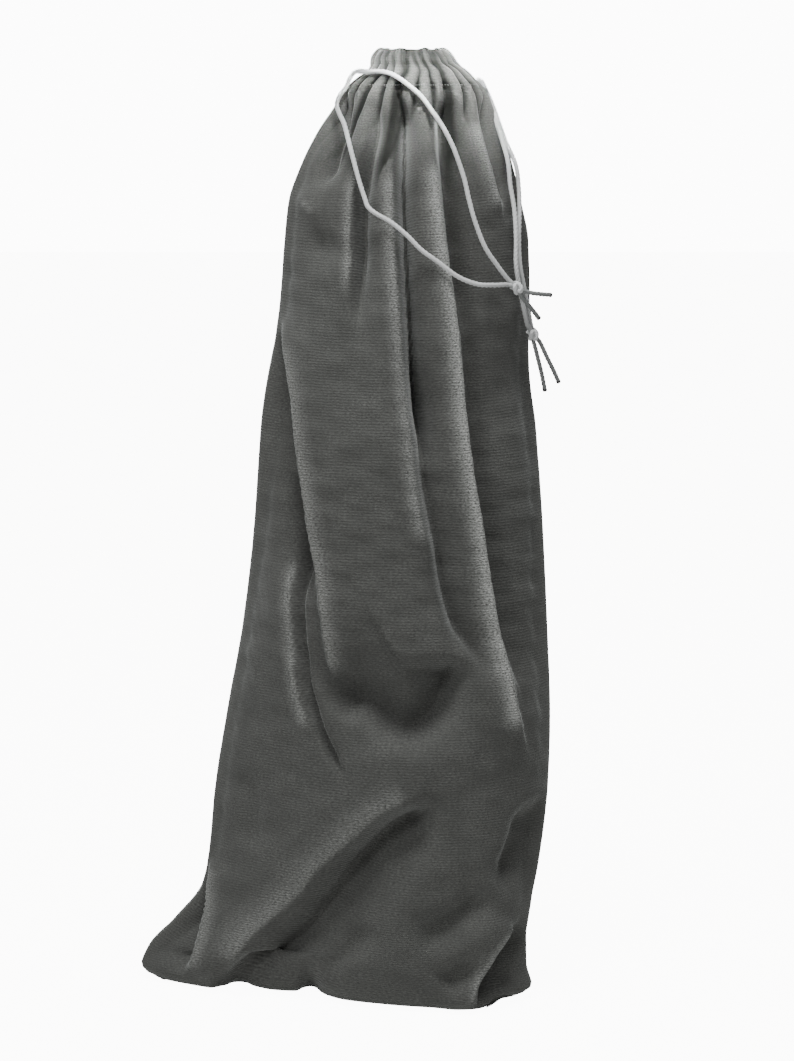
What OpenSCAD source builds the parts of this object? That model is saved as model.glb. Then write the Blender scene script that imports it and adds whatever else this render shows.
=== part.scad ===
// Tall velour drawstring laundry bag, standing filled with its mouth drawn shut.
// Two flat panels are sewn at the sides and the bottom. The top edge is turned over
// into a casing that is slit at both side seams. Two drawcords run round the casing,
// one leaving at each slit, and each ends in a knot with two loose tails.
// Millimetres, +Z up, origin on the floor under the middle of the bag. The front
// faces -Y and the side seams face -X and +X.

/* [Bag] */
// Standing height, from the floor to the top edge of the gathered header
bag_h = 613; // [580:1:650]
// Thickness of the velour
wall = 2; // [1.4:0.1:2.2]
// Open line between two neighbouring sewn pieces
seam_gap = 0.4; // [0.3:0.1:0.6]
// Height of the crease in the back panel about which the mouth opens
hinge_h = 400; // [396:1:404]

/* [Casing] */
// Thickness of the cloth on each side of the cord tunnel
casing_wall = 1.3; // [1:0.1:1.4]
// Depth of the cord tunnel, front to back
tunnel = 5.8; // [5.6:0.1:6]
// Angle round the neck from a side seam to the end of the casing
slit_angle = 13; // [12:1:15]

/* [Drawcords] */
// Diameter of both drawcords
cord_d = 3; // [2.4:0.1:3]
// Diameter of a knot at its middle
knot_d = 8; // [7:0.5:9]
// Length of the sealed tip at the end of a tail
tip_l = 3; // [2:0.5:4]

/* [Seams] */
// Width of the seam allowance inside the bag
allowance = 8; // [6:1:9]
// Thickness of the two raw edges bound together
bound_t = 1.6; // [1.2:0.1:1.8]
// Thickness of the sewing thread
thread_t = 0.5; // [0.3:0.1:0.5]
// Distance that the thread stands off the cloth
thread_off = 0.15; // [0.1:0.05:0.2]

/* [Hidden] */

FRONT = 1;
BACK = -1;
VELOUR = [0.35, 0.36, 0.35];
VELOUR_DARK = [0.27, 0.28, 0.27];
THREAD = [0.2, 0.21, 0.2];
CORD = [0.88, 0.89, 0.89];
CORD_DARK = [0.5, 0.5, 0.5];

// The model is drawn for this height, and bag_h scales its places from it
drawn_h = 613;
k = bag_h / drawn_h;
cord_r = cord_d / 2;

// Outline of the filled bag at each height: height, left edge, right edge, how far
// forward or back the left and right seams stand, depth in front of and behind the
// seams, and how much the front bulges towards the right.
STATIONS = [
    [0, -129, 114, -3, -46, 38, 54, 0.3],
    [7, -133, 121, -3, -45, 45, 62, 0.3],
    [22, -128, 118, -3, -44, 49, 70, 0.3],
    [40, -111, 118, -3, -41, 51, 76, 0.3],
    [65, -92, 121, -3, -38, 54, 80, 0.25],
    [90, -87, 126, -3, -34, 57, 84, 0.2],
    [130, -83, 131, -3, -28, 61, 89, 0.15],
    [185, -74, 133, -2, -21, 65, 91, 0.1],
    [245, -63, 131, -1, -14, 69, 88, 0.05],
    [305, -56, 128, 0, -8, 68, 83, 0],
    [372, -51, 123, 0, -3, 65, 76, 0],
    [400, -48, 121, 0, 0, 62, 72, 0],
    [452, -40, 122, 0, 0, 56, 63, 0],
    [490, -37, 121, 0, 0, 50, 55, 0],
    [516, -34, 116, 0, 0, 45, 49, 0],
    [541, -25, 110, 0, 0, 39, 42, 0],
    [562, -14, 103, 0, 0, 33, 35, 0],
    [575, -5, 98, 0, 0, 29, 31, 0],
    [588, 3, 92, 0, 0, 24.5, 25, 0],
    [594, 10, 86, 0, 0, 22.5, 22.5, 0],
    [598, 16, 82, 0, 0, 21, 21, 0],
    [604.5, 19, 74, 0, 0, 18, 18, 0],
    [613, 25, 66, 0, 0, 14, 14, 0]];

// Heights of the panels' top edge and of the casing above it
panel_top = 588;
casing_foot = panel_top + seam_gap;
header_top = drawn_h;
// Heights of the two drawcords in the casing, and how far in from its face they run
left_cord_h = 597.6;
right_cord_h = 592.6;
cord_inset = casing_wall + tunnel / 2;
casing_depth = 2 * casing_wall + tunnel;
// Thickness of the header's doubled cloth above the tunnel
header_t = 4.5;
// Part of the floor's width that the bottom seam takes
seam_reach = 0.94;
columns = 19;
casing_columns = 17;
cord_sides = 8;
knot_sides = 10;

// Distance of a loose strand's middle from the slit's own middle plane
exit_side = 1.8;
// Places where the strands leave the casing, and the pivots of the two loops
left_exit_x = 17.7;
right_exit_x = 85.3;

// Routes of the loose drawcords, from the casing to the knot or from the knot to the tip
LEFT_UPPER_ROUTE = [
    [16.9, -1.8, 597.6], [13, -3.5, 597.6], [12, -8, 597.6], [16, -13, 597.6],
    [24, -18, 598], [31, -21, 597], [37, -24, 594], [44, -27, 589], [51, -29.5, 583],
    [57, -31.5, 575], [64, -34, 565], [70, -37, 554], [74, -39, 544], [78, -41, 532],
    [81, -43, 519], [85, -45, 505], [91, -45, 490], [99, -42, 478], [106, -40, 469]];
LEFT_LOWER_ROUTE = [
    [16.9, 1.8, 597.6], [13, 1, 598], [9, -2, 597], [6, -6, 593], [4, -11, 588],
    [0, -13, 583], [-2, -13, 577], [0, -18, 571], [3, -25, 565], [7, -33, 550],
    [12, -41, 532], [16, -45, 520], [18, -47, 515], [23, -49, 511], [32, -51, 506],
    [42, -53, 498], [51, -54, 489], [62, -54, 481], [74, -52, 472], [86, -48, 467],
    [96, -44, 466], [105, -41, 466]];
RIGHT_INNER_ROUTE = [
    [86.8, -1.8, 592.6], [91, -2.5, 592], [95, -4, 588], [98, -6, 581], [102, -9, 569],
    [104, -13, 556], [106, -18, 542], [107.5, -22, 527], [110, -25, 512], [111, -30, 495],
    [111, -32, 479], [113, -31, 465], [116, -28, 451], [118.5, -24, 440]];
RIGHT_OUTER_ROUTE = [
    [86.8, 1.8, 592.6], [91, 1.8, 592], [97, 1, 588], [101, 0, 580], [105, -2, 568],
    [108, -6, 554], [111, -12, 540], [113, -15, 527], [113.5, -19, 512], [113, -25, 495],
    [113.5, -28, 479], [116, -27, 465], [119, -24, 451], [121, -21, 440]];
LEFT_SIDE_TAIL_ROUTE = [[117.4, -37, 461.2], [122, -35, 460], [128, -31, 459], [134, -26, 458]];
LEFT_DOWN_TAIL_ROUTE = [[115, -37, 457.5], [119, -34.5, 452.5], [123, -32, 447.5], [126, -30, 443]];
RIGHT_INNER_TAIL_ROUTE = [[124, -17.5, 424.5], [126.5, -16, 415], [129, -14.5, 405], [131, -13.5, 395]];
RIGHT_OUTER_TAIL_ROUTE = [[127.5, -15.5, 426.5], [132, -13.5, 417], [136.5, -12, 408], [140, -11, 400]];
LEFT_KNOT_AXIS = [[107, -41, 468], [109, -40.5, 466.5], [112, -39.5, 463], [114, -38.5, 460.5], [115.5, -38, 459.5]];
RIGHT_KNOT_AXIS = [[119.5, -22, 439], [120.5, -21.3, 436.5], [122.5, -19.5, 431.5], [124.5, -18, 427.5], [125.3, -17.2, 425.5]];
// Radius of a knot along its length, in parts of its largest
KNOT_SHAPE = [0.4, 0.85, 1, 0.9, 0.5];

// ---------------------------------------------------------------- outline of the bag

// Row of STATIONS at height z, in between two of them where need be
function station(z, i = 0) =
    z <= STATIONS[i + 1][0] || i == len(STATIONS) - 2
        ? let (t = (z - STATIONS[i][0]) / (STATIONS[i + 1][0] - STATIONS[i][0]))
          STATIONS[i] * (1 - t) + STATIONS[i + 1] * t
        : station(z, i + 1);

// Where the seams' own line across the bag stands, front to back, at x
function seam_y(s, x) = s[3] + (s[4] - s[3]) * (x - s[1]) / (s[2] - s[1]);

// Point of the half ellipse on one side of the seams, at angle phi round it and
// height z, inset from the outer face
function wall_point(side, z, phi, inset = 0) =
    let (s = station(z),
         mid = (s[1] + s[2]) / 2,
         half = (s[2] - s[1]) / 2,
         x = mid - side * (half - inset) * cos(phi),
         depth = side == FRONT ? s[5] * (1 + s[7] * (x - mid) / half) : s[6],
         y = seam_y(s, x) - side * (seam_gap / 2 + (depth - inset) * sin(phi)))
    [x, y, z];

// Row of points across one side of the bag, from seam to seam
function wall_row(side, z, inset, lift = 0) =
    [for (i = [0:columns - 1]) wall_point(side, z, 180 * i / (columns - 1), inset) + [0, 0, lift]];

// Row of points along the bottom seam
function bottom_row(side, inset, lift) =
    let (s = station(0), mid = (s[1] + s[2]) / 2, half = (s[2] - s[1]) / 2)
    [for (i = [0:columns - 1])
        let (x = mid - side * seam_reach * (half - inset) * cos(180 * i / (columns - 1)))
        [x, seam_y(s, x) - side * seam_gap / 2, lift]];

// ---------------------------------------------------------------- meshes

// Two triangles for each cell of a grid of points, turned over when flip is true
function grid_faces(rows, cols, first, flip) =
    [for (r = [0:rows - 2], c = [0:cols - 2])
        let (a = first + r * cols + c, b = a + 1, d = a + cols, e = d + 1)
        each flip ? [[a, e, d], [a, b, e]] : [[a, d, e], [a, e, b]]];

// The same for a grid whose last column joins its first
function ring_faces(rows, cols, first, flip) =
    [for (r = [0:rows - 2], c = [0:cols - 1])
        let (a = first + r * cols + c, b = first + r * cols + (c + 1) % cols,
             d = a + cols, e = b + cols)
        each flip ? [[a, e, d], [a, b, e]] : [[a, d, e], [a, e, b]]];

// Point numbers round the edge of a grid, anticlockwise
function grid_edge(rows, cols) =
    concat([for (c = [0:cols - 2]) c],
           [for (r = [0:rows - 2]) r * cols + cols - 1],
           [for (c = [cols - 1:-1:1]) (rows - 1) * cols + c],
           [for (r = [rows - 1:-1:1]) r * cols]);

// Closed shell between an outer and an inner grid of points
module shell(outer, inner) {
    rows = len(outer);
    cols = len(outer[0]);
    n = rows * cols;
    edge = grid_edge(rows, cols);
    m = len(edge);
    rim = [for (i = [0:m - 1])
        let (a = edge[i], b = edge[(i + 1) % m])
        each [[a, b, b + n], [a, b + n, a + n]]];
    scale(k) polyhedron(
        points = concat([for (row = outer) each row], [for (row = inner) each row]),
        faces = concat(grid_faces(rows, cols, 0, false), grid_faces(rows, cols, n, true), rim),
        convexity = 8);
}

// Solid skinned over closed loops of points that all have the same number
module skin(loops) {
    rows = len(loops);
    cols = len(loops[0]);
    last = (rows - 1) * cols;
    polyhedron(
        points = [for (loop = loops) each loop],
        faces = concat([[for (c = [0:cols - 1]) c]], ring_faces(rows, cols, 0, false),
                       [[for (c = [cols - 1:-1:0]) last + c]]),
        convexity = 6);
}

// The same with a second set of loops that bounds a tunnel right through it
module hollow_skin(outer, inner) {
    rows = len(outer);
    cols = len(outer[0]);
    n = rows * cols;
    last = n - cols;
    caps = [for (c = [0:cols - 1])
        let (d = (c + 1) % cols)
        each [[c, d, n + d], [c, n + d, n + c],
              [last + d, last + c, n + last + c], [last + d, n + last + c, n + last + d]]];
    scale(k) polyhedron(
        points = concat([for (loop = outer) each loop], [for (loop = inner) each loop]),
        faces = concat(ring_faces(rows, cols, 0, false), ring_faces(rows, cols, n, true), caps),
        convexity = 8);
}

// Direction of a route at its point i
function heading(route, i) =
    let (v = route[min(i + 1, len(route) - 1)] - route[max(i - 1, 0)]) v / norm(v);

// Vectors square to the route, each carried on from the one before without twist
function carried(route, i, u) =
    i == len(route) ? []
        : let (t = heading(route, i), v = u - (u * t) * t, w = v / norm(v))
          concat([w], carried(route, i + 1, w));

// Round tube along a route, with a radius for each of its points
module tube(route, radii, sides) {
    placed = k * route;
    across = carried(placed, 0, [0, 0.3, 1]);
    skin([for (i = [0:len(route) - 1])
        let (w = across[i], v = cross(heading(placed, i), w))
        [for (j = [0:sides - 1])
            placed[i] + radii[i] * (cos(360 * j / sides) * w + sin(360 * j / sides) * v)]]);
}

module cord(route) tube(route, [for (p = route) cord_r], cord_sides);

module knot(axis) tube(axis, KNOT_SHAPE * knot_d / 2, knot_sides);

// Sealed end beyond a tail's last point
module tip(route) {
    n = len(route);
    end = k * route[n - 1];
    t = heading(route, n - 1);
    tube([end / k, (end + t * tip_l * 0.7) / k, (end + t * tip_l) / k],
         [cord_r, cord_r, cord_r * 0.6], cord_sides);
}

// ---------------------------------------------------------------- panels

// Heights of STATIONS between two limits
function heights(low, high) = [for (s = STATIONS) if (s[0] > low && s[0] < high) s[0]];

// Panel from the bottom seam, over the edge of the floor and up to height top
module standing_panel(side, top) {
    levels = concat(heights(0, top), [top]);
    shell(concat([bottom_row(side, 0, 0), wall_row(side, 0, 0)],
                 [for (z = levels) wall_row(side, z, 0)]),
          concat([bottom_row(side, wall, wall), wall_row(side, 0, wall, wall)],
                 [for (z = levels) wall_row(side, z, wall)]));
}

module front_panel() { color(VELOUR) standing_panel(FRONT, panel_top); }

module lower_back_panel() { color(VELOUR) standing_panel(BACK, hinge_h - seam_gap / 2); }

module upper_back_panel() {
    levels = concat([hinge_h + seam_gap / 2], heights(hinge_h + seam_gap, panel_top), [panel_top]);
    color(VELOUR)
        shell([for (z = levels) wall_row(BACK, z, 0)], [for (z = levels) wall_row(BACK, z, wall)]);
}

// ---------------------------------------------------------------- casing

// Half of the casing: the cord tunnel at its foot and the doubled header above it
module casing(side) {
    skirt = [[casing_depth, casing_foot], [casing_depth, 593], [casing_depth, 599],
             [header_t + 1, 604.5], [header_t, header_top],
             [0, header_top], [0, 604.5], [0, 598], [0, 594], [0, casing_foot]];
    bore_in = casing_wall + tunnel;
    bore = [[bore_in, 590], [bore_in, 593], [bore_in, 598.5], [header_t, 601.5], [3.4, 602],
            [2.4, 602], [casing_wall, 601], [casing_wall, 598], [casing_wall, 594], [casing_wall, 590]];
    turn = 180 - 2 * slit_angle;
    function swept(profile) =
        [for (i = [0:casing_columns - 1])
            [for (p = profile) wall_point(side, p[1], slit_angle + turn * i / (casing_columns - 1), p[0])]];
    hollow_skin(swept(skirt), swept(bore));
}

module front_casing() { color(VELOUR) casing(FRONT); }

module back_casing() { color(VELOUR) casing(BACK); }

// Row of lockstitch thread just above the casing's lower edge
module casing_stitching(side) {
    z = casing_foot + 1.6;
    first = slit_angle + 2;
    near = -thread_off;
    far = -thread_off - thread_t;
    scale(k) skin([for (i = [0:casing_columns - 1])
        let (phi = first + (180 - 2 * first) * i / (casing_columns - 1))
        [wall_point(side, z, phi, near), wall_point(side, z + thread_t, phi, near),
         wall_point(side, z + thread_t, phi, far), wall_point(side, z, phi, far)]]);
}

module front_casing_stitching() { color(THREAD) casing_stitching(FRONT); }

module back_casing_stitching() { color(THREAD) casing_stitching(BACK); }

// ---------------------------------------------------------------- seams

// Raw edges of both panels bound together, standing inwards from a side seam
module side_seam(end) {
    levels = concat(heights(20, panel_top - 20), [panel_top - 20]);
    off = wall + seam_gap;
    scale(k) skin([for (z = levels)
        let (s = station(z), x = end < 0 ? s[1] + off : s[2] - off - allowance,
             y = seam_y(s, x) - bound_t / 2)
        [[x, y, z], [x + allowance, y, z], [x + allowance, y + bound_t, z], [x, y + bound_t, z]]]);
}

module left_side_seam() { color(VELOUR_DARK) side_seam(-1); }

module right_side_seam() { color(VELOUR_DARK) side_seam(1); }

// The same along the bottom seam, standing up from the floor of the bag
module bottom_seam() {
    s = station(0);
    foot = wall + seam_gap;
    clear_of_sides = 16;
    color(VELOUR_DARK) scale(k) skin([for (x = [s[1] + clear_of_sides, s[2] - clear_of_sides])
        let (y = seam_y(s, x))
        [[x, y - bound_t / 2, foot], [x, y + bound_t / 2, foot],
         [x, y + bound_t / 2, foot + allowance], [x, y - bound_t / 2, foot + allowance]]]);
}

// Dense bar of thread that locks the side seam just below the slit
module exit_bartack(end) {
    bar_h = 2;
    bar_t = 0.8;
    z = panel_top - bar_h - 0.6;
    angles = end < 0 ? [1, 5, 9, 13] : [167, 171, 175, 179];
    scale(k) skin([for (phi = angles)
        [wall_point(FRONT, z, phi, -thread_off), wall_point(FRONT, z + bar_h, phi, -thread_off),
         wall_point(FRONT, z + bar_h, phi, -thread_off - bar_t),
         wall_point(FRONT, z, phi, -thread_off - bar_t)]]);
}

module left_exit_bartack() { color(THREAD) exit_bartack(-1); }

module right_exit_bartack() { color(THREAD) exit_bartack(1); }

// ---------------------------------------------------------------- drawcords

// Half of a drawcord inside the casing: it crosses the far slit and turns out of its own
module cord_run(side, z, exit_x) {
    towards_left = exit_x < 50;
    from = side == FRONT ? 180 : 0;
    angles = towards_left ? [1, 12, 30, 50, 70, 90, 110, 130, 148, 158, 165]
                          : [179, 168, 150, 130, 110, 90, 70, 50, 32, 22, 15];
    ring = [for (phi = angles)
        wall_point(side, z, side == FRONT ? 180 - phi : phi, cord_inset)];
    inward = towards_left ? 1 : -1;
    out = [for (step = [[3, 2.35], [1.1, exit_side]])
        [exit_x + inward * step[0], -side * step[1], z]];
    cord(concat(ring, out));
}

module left_cord_front_run() { color(CORD) cord_run(FRONT, left_cord_h, left_exit_x); }

module left_cord_back_run() { color(CORD) cord_run(BACK, left_cord_h, left_exit_x); }

module right_cord_front_run() { color(CORD) cord_run(FRONT, right_cord_h, right_exit_x); }

module right_cord_back_run() { color(CORD) cord_run(BACK, right_cord_h, right_exit_x); }

module left_cord_upper_strand() { color(CORD) cord(LEFT_UPPER_ROUTE); }

module left_cord_lower_strand() { color(CORD) cord(LEFT_LOWER_ROUTE); }

module left_knot() { color(CORD) knot(LEFT_KNOT_AXIS); }

module left_cord_side_tail() { color(CORD_DARK) cord(LEFT_SIDE_TAIL_ROUTE); }

module left_cord_down_tail() { color(CORD_DARK) cord(LEFT_DOWN_TAIL_ROUTE); }

module left_cord_tips() {
    color(THREAD) tip(LEFT_SIDE_TAIL_ROUTE);
    color(THREAD) tip(LEFT_DOWN_TAIL_ROUTE);
}

module right_cord_inner_strand() { color(CORD) cord(RIGHT_INNER_ROUTE); }

module right_cord_outer_strand() { color(CORD) cord(RIGHT_OUTER_ROUTE); }

module right_knot() { color(CORD) knot(RIGHT_KNOT_AXIS); }

module right_cord_inner_tail() { color(CORD_DARK) cord(RIGHT_INNER_TAIL_ROUTE); }

module right_cord_outer_tail() { color(CORD_DARK) cord(RIGHT_OUTER_TAIL_ROUTE); }

module right_cord_tips() {
    color(THREAD) tip(RIGHT_INNER_TAIL_ROUTE);
    color(THREAD) tip(RIGHT_OUTER_TAIL_ROUTE);
}

front_panel();
lower_back_panel();
upper_back_panel();
front_casing();
back_casing();
left_side_seam();
right_side_seam();
bottom_seam();
front_casing_stitching();
back_casing_stitching();
left_exit_bartack();
right_exit_bartack();
left_cord_front_run();
left_cord_back_run();
right_cord_front_run();
right_cord_back_run();
left_cord_upper_strand();
left_cord_lower_strand();
left_knot();
left_cord_side_tail();
left_cord_down_tail();
left_cord_tips();
right_cord_inner_strand();
right_cord_outer_strand();
right_knot();
right_cord_inner_tail();
right_cord_outer_tail();
right_cord_tips();
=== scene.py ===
"""Velour drawstring laundry bag, standing filled on a floor, with its two drawcords pulled tight.

Shapes are written in millimetres of the shared frame and turned to metres when a mesh is made.
"""

from __future__ import annotations

import logging
import math
from dataclasses import dataclass, field
from enum import Enum

import bpy
import numpy as np
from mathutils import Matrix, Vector

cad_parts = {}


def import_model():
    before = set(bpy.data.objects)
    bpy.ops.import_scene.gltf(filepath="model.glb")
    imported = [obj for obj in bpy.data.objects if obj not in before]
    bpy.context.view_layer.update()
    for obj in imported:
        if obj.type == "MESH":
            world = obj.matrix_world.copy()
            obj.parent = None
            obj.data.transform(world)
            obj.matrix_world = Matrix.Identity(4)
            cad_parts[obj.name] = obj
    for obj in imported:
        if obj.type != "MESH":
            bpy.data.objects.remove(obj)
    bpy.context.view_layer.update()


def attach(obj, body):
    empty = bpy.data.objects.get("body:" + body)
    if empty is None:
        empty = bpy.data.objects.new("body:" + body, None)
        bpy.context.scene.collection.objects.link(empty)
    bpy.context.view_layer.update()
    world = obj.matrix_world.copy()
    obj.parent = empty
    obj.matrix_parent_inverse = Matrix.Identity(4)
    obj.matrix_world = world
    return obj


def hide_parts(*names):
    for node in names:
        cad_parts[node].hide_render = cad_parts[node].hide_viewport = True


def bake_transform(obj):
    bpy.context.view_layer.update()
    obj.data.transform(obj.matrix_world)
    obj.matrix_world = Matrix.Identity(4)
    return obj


LOG = logging.getLogger("laundry_bag")
MM = 0.001

# The filled bag at each height: left and right edge, the seams' y there, how far the front
# and the back bulge, and how much further the front bulges towards the right
STATIONS = np.array(
    [
        [0, -129, 114, -3, -46, 38, 54, 0.30],
        [7, -133, 121, -3, -45, 45, 62, 0.30],
        [22, -128, 118, -3, -44, 49, 70, 0.30],
        [40, -111, 118, -3, -41, 51, 76, 0.30],
        [65, -92, 121, -3, -38, 54, 80, 0.25],
        [90, -87, 126, -3, -34, 57, 84, 0.20],
        [130, -83, 131, -3, -28, 61, 89, 0.15],
        [185, -74, 133, -2, -21, 65, 91, 0.10],
        [245, -63, 131, -1, -14, 69, 88, 0.05],
        [305, -56, 128, 0, -8, 68, 83, 0.0],
        [372, -51, 123, 0, -3, 65, 76, 0.0],
        [400, -48, 121, 0, 0, 62, 72, 0.0],
        [452, -40, 122, 0, 0, 56, 63, 0.0],
        [490, -37, 121, 0, 0, 50, 55, 0.0],
        [516, -34, 116, 0, 0, 45, 49, 0.0],
        [541, -25, 110, 0, 0, 39, 42, 0.0],
        [562, -14, 103, 0, 0, 33, 35, 0.0],
        [575, -5, 98, 0, 0, 29, 31, 0.0],
        [588, 3, 92, 0, 0, 24.5, 25, 0.0],
        [594, 10, 86, 0, 0, 22.5, 22.5, 0.0],
        [598, 16, 82, 0, 0, 21, 21, 0.0],
        [604.5, 19, 74, 0, 0, 18, 18, 0.0],
        [613, 25, 66, 0, 0, 14, 14, 0.0],
    ]
)
PANEL_TOP = 588.0
# Angle from the side seam to each edge of a slit
SLIT_ANGLE = 13.0
LEFT_CORD_H = 597.6
RIGHT_CORD_H = 592.6
CORD_D = 3.0


class Side(Enum):
    """Which face of the bag a panel is on: the front one faces -Y."""

    FRONT = 1
    BACK = -1


class Crease(Enum):
    """A fold of the cloth stands out as a ridge or goes in as a valley."""

    RIDGE = 1
    VALLEY = -1


# ------------------------------------------------------------------ small mathematics


def smoothstep(x: np.ndarray) -> np.ndarray:
    """Ease from 0 to 1: 3x^2 - 2x^3 with x held between 0 and 1.

    Args:
        x: any values.

    Returns:
        The eased values.
    """
    x = np.clip(x, 0.0, 1.0)
    return x * x * (3.0 - 2.0 * x)


def monotone(x: np.ndarray, xs: np.ndarray, ys: np.ndarray) -> np.ndarray:
    """Smooth curve through a table's points that never overshoots them.

    Each span is a cubic whose end slopes are the harmonic mean of the two spans that meet there,
    or zero where they turn.

    Args:
        x: places asked for, of any shape.
        xs: the table's places, rising.
        ys: the table's values, one column for each quantity.

    Returns:
        Values of shape x.shape + (columns,).
    """
    h = np.diff(xs)[:, None]
    d = np.diff(ys, axis=0) / h
    inner = np.zeros_like(ys)
    same = d[:-1] * d[1:] > 0
    safe = np.where(same, d[:-1] + d[1:], 1.0)
    inner[1:-1] = np.where(same, 2.0 * d[:-1] * d[1:] / safe, 0.0)
    inner[0] = d[0]
    inner[-1] = d[-1]
    x = np.clip(np.asarray(x, dtype=float), xs[0], xs[-1])
    i = np.clip(np.searchsorted(xs, x, side="right") - 1, 0, len(xs) - 2)
    span = (xs[i + 1] - xs[i])[..., None]
    t = (x - xs[i])[..., None] / span
    t2, t3 = t * t, t * t * t
    a = (2 * t3 - 3 * t2 + 1) * ys[i] + (t3 - 2 * t2 + t) * span * inner[i]
    return a + (-2 * t3 + 3 * t2) * ys[i + 1] + (t3 - t2) * span * inner[i + 1]


def through(points: np.ndarray, steps: int) -> np.ndarray:
    """Catmull-Rom curve through points: each span bends with its neighbours' direction.

    Args:
        points: one row for each point.
        steps: pieces in each span.

    Returns:
        The curve's points, the given ones among them.
    """
    p = np.asarray(points, dtype=float)
    q = np.vstack([2 * p[0] - p[1], p, 2 * p[-1] - p[-2]])
    t = np.linspace(0.0, 1.0, steps, endpoint=False)[None, :, None]
    a, b, c, d = (q[k : len(q) - 3 + k][:, None, :] for k in range(4))
    curve = 0.5 * (
        2 * b + (c - a) * t + (2 * a - 5 * b + 4 * c - d) * t**2 + (3 * b - a - 3 * c + d) * t**3
    )
    return np.vstack([curve.reshape(-1, p.shape[1]), p[-1:]])


def evenly(points: np.ndarray, step: float) -> np.ndarray:
    """The same line with its points an even step apart along it.

    Args:
        points: one row for each point.
        step: distance wanted.

    Returns:
        The points.
    """
    gaps = np.linalg.norm(np.diff(points, axis=0), axis=1)
    along = np.concatenate([[0.0], np.cumsum(gaps)])
    count = max(4, int(round(along[-1] / step)) + 1)
    at = np.linspace(0.0, along[-1], count)
    return np.stack([np.interp(at, along, points[:, k]) for k in range(points.shape[1])], axis=1)


def line_length(points: np.ndarray) -> float:
    """Length of a line through points."""
    return float(np.linalg.norm(np.diff(points, axis=0), axis=1).sum())


def ripple(a: np.ndarray, b: np.ndarray, size: float, seed: int) -> np.ndarray:
    """Gentle unevenness, about -1 to 1: the mean of seven waves in fixed mixed directions.

    Args:
        a: first coordinate in millimetres.
        b: second coordinate in millimetres.
        size: about how far apart its bumps are, in millimetres.
        seed: picks the directions.

    Returns:
        The height at each place.
    """
    rng = np.random.default_rng(seed)
    out = np.zeros(np.broadcast(a, b).shape)
    for angle, phase, stretch in zip(
        rng.uniform(0, math.pi, 7), rng.uniform(0, 2 * math.pi, 7), rng.uniform(0.7, 1.5, 7)
    ):
        k = 2 * math.pi / (size * stretch)
        out = out + np.sin(k * (a * math.cos(angle) + b * math.sin(angle)) + phase)
    return out / 3.2


# ------------------------------------------------------------------ meshes


def grid_faces(rows: int, columns: int, round_rows: bool, round_columns: bool) -> np.ndarray:
    """Four-cornered faces of a grid of vertices numbered row by row.

    Args:
        rows: number of rows.
        columns: number of vertices in a row.
        round_rows: the last row joins the first.
        round_columns: the last column joins the first.

    Returns:
        One row of four vertex numbers for each face.
    """
    i = np.arange(rows if round_rows else rows - 1)[:, None]
    j = np.arange(columns if round_columns else columns - 1)[None, :]
    i2, j2 = (i + 1) % rows, (j + 1) % columns
    quads = np.stack(
        [i * columns + j, i * columns + j2, i2 * columns + j2, i2 * columns + j], axis=-1
    )
    return quads.reshape(-1, 4)


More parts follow.
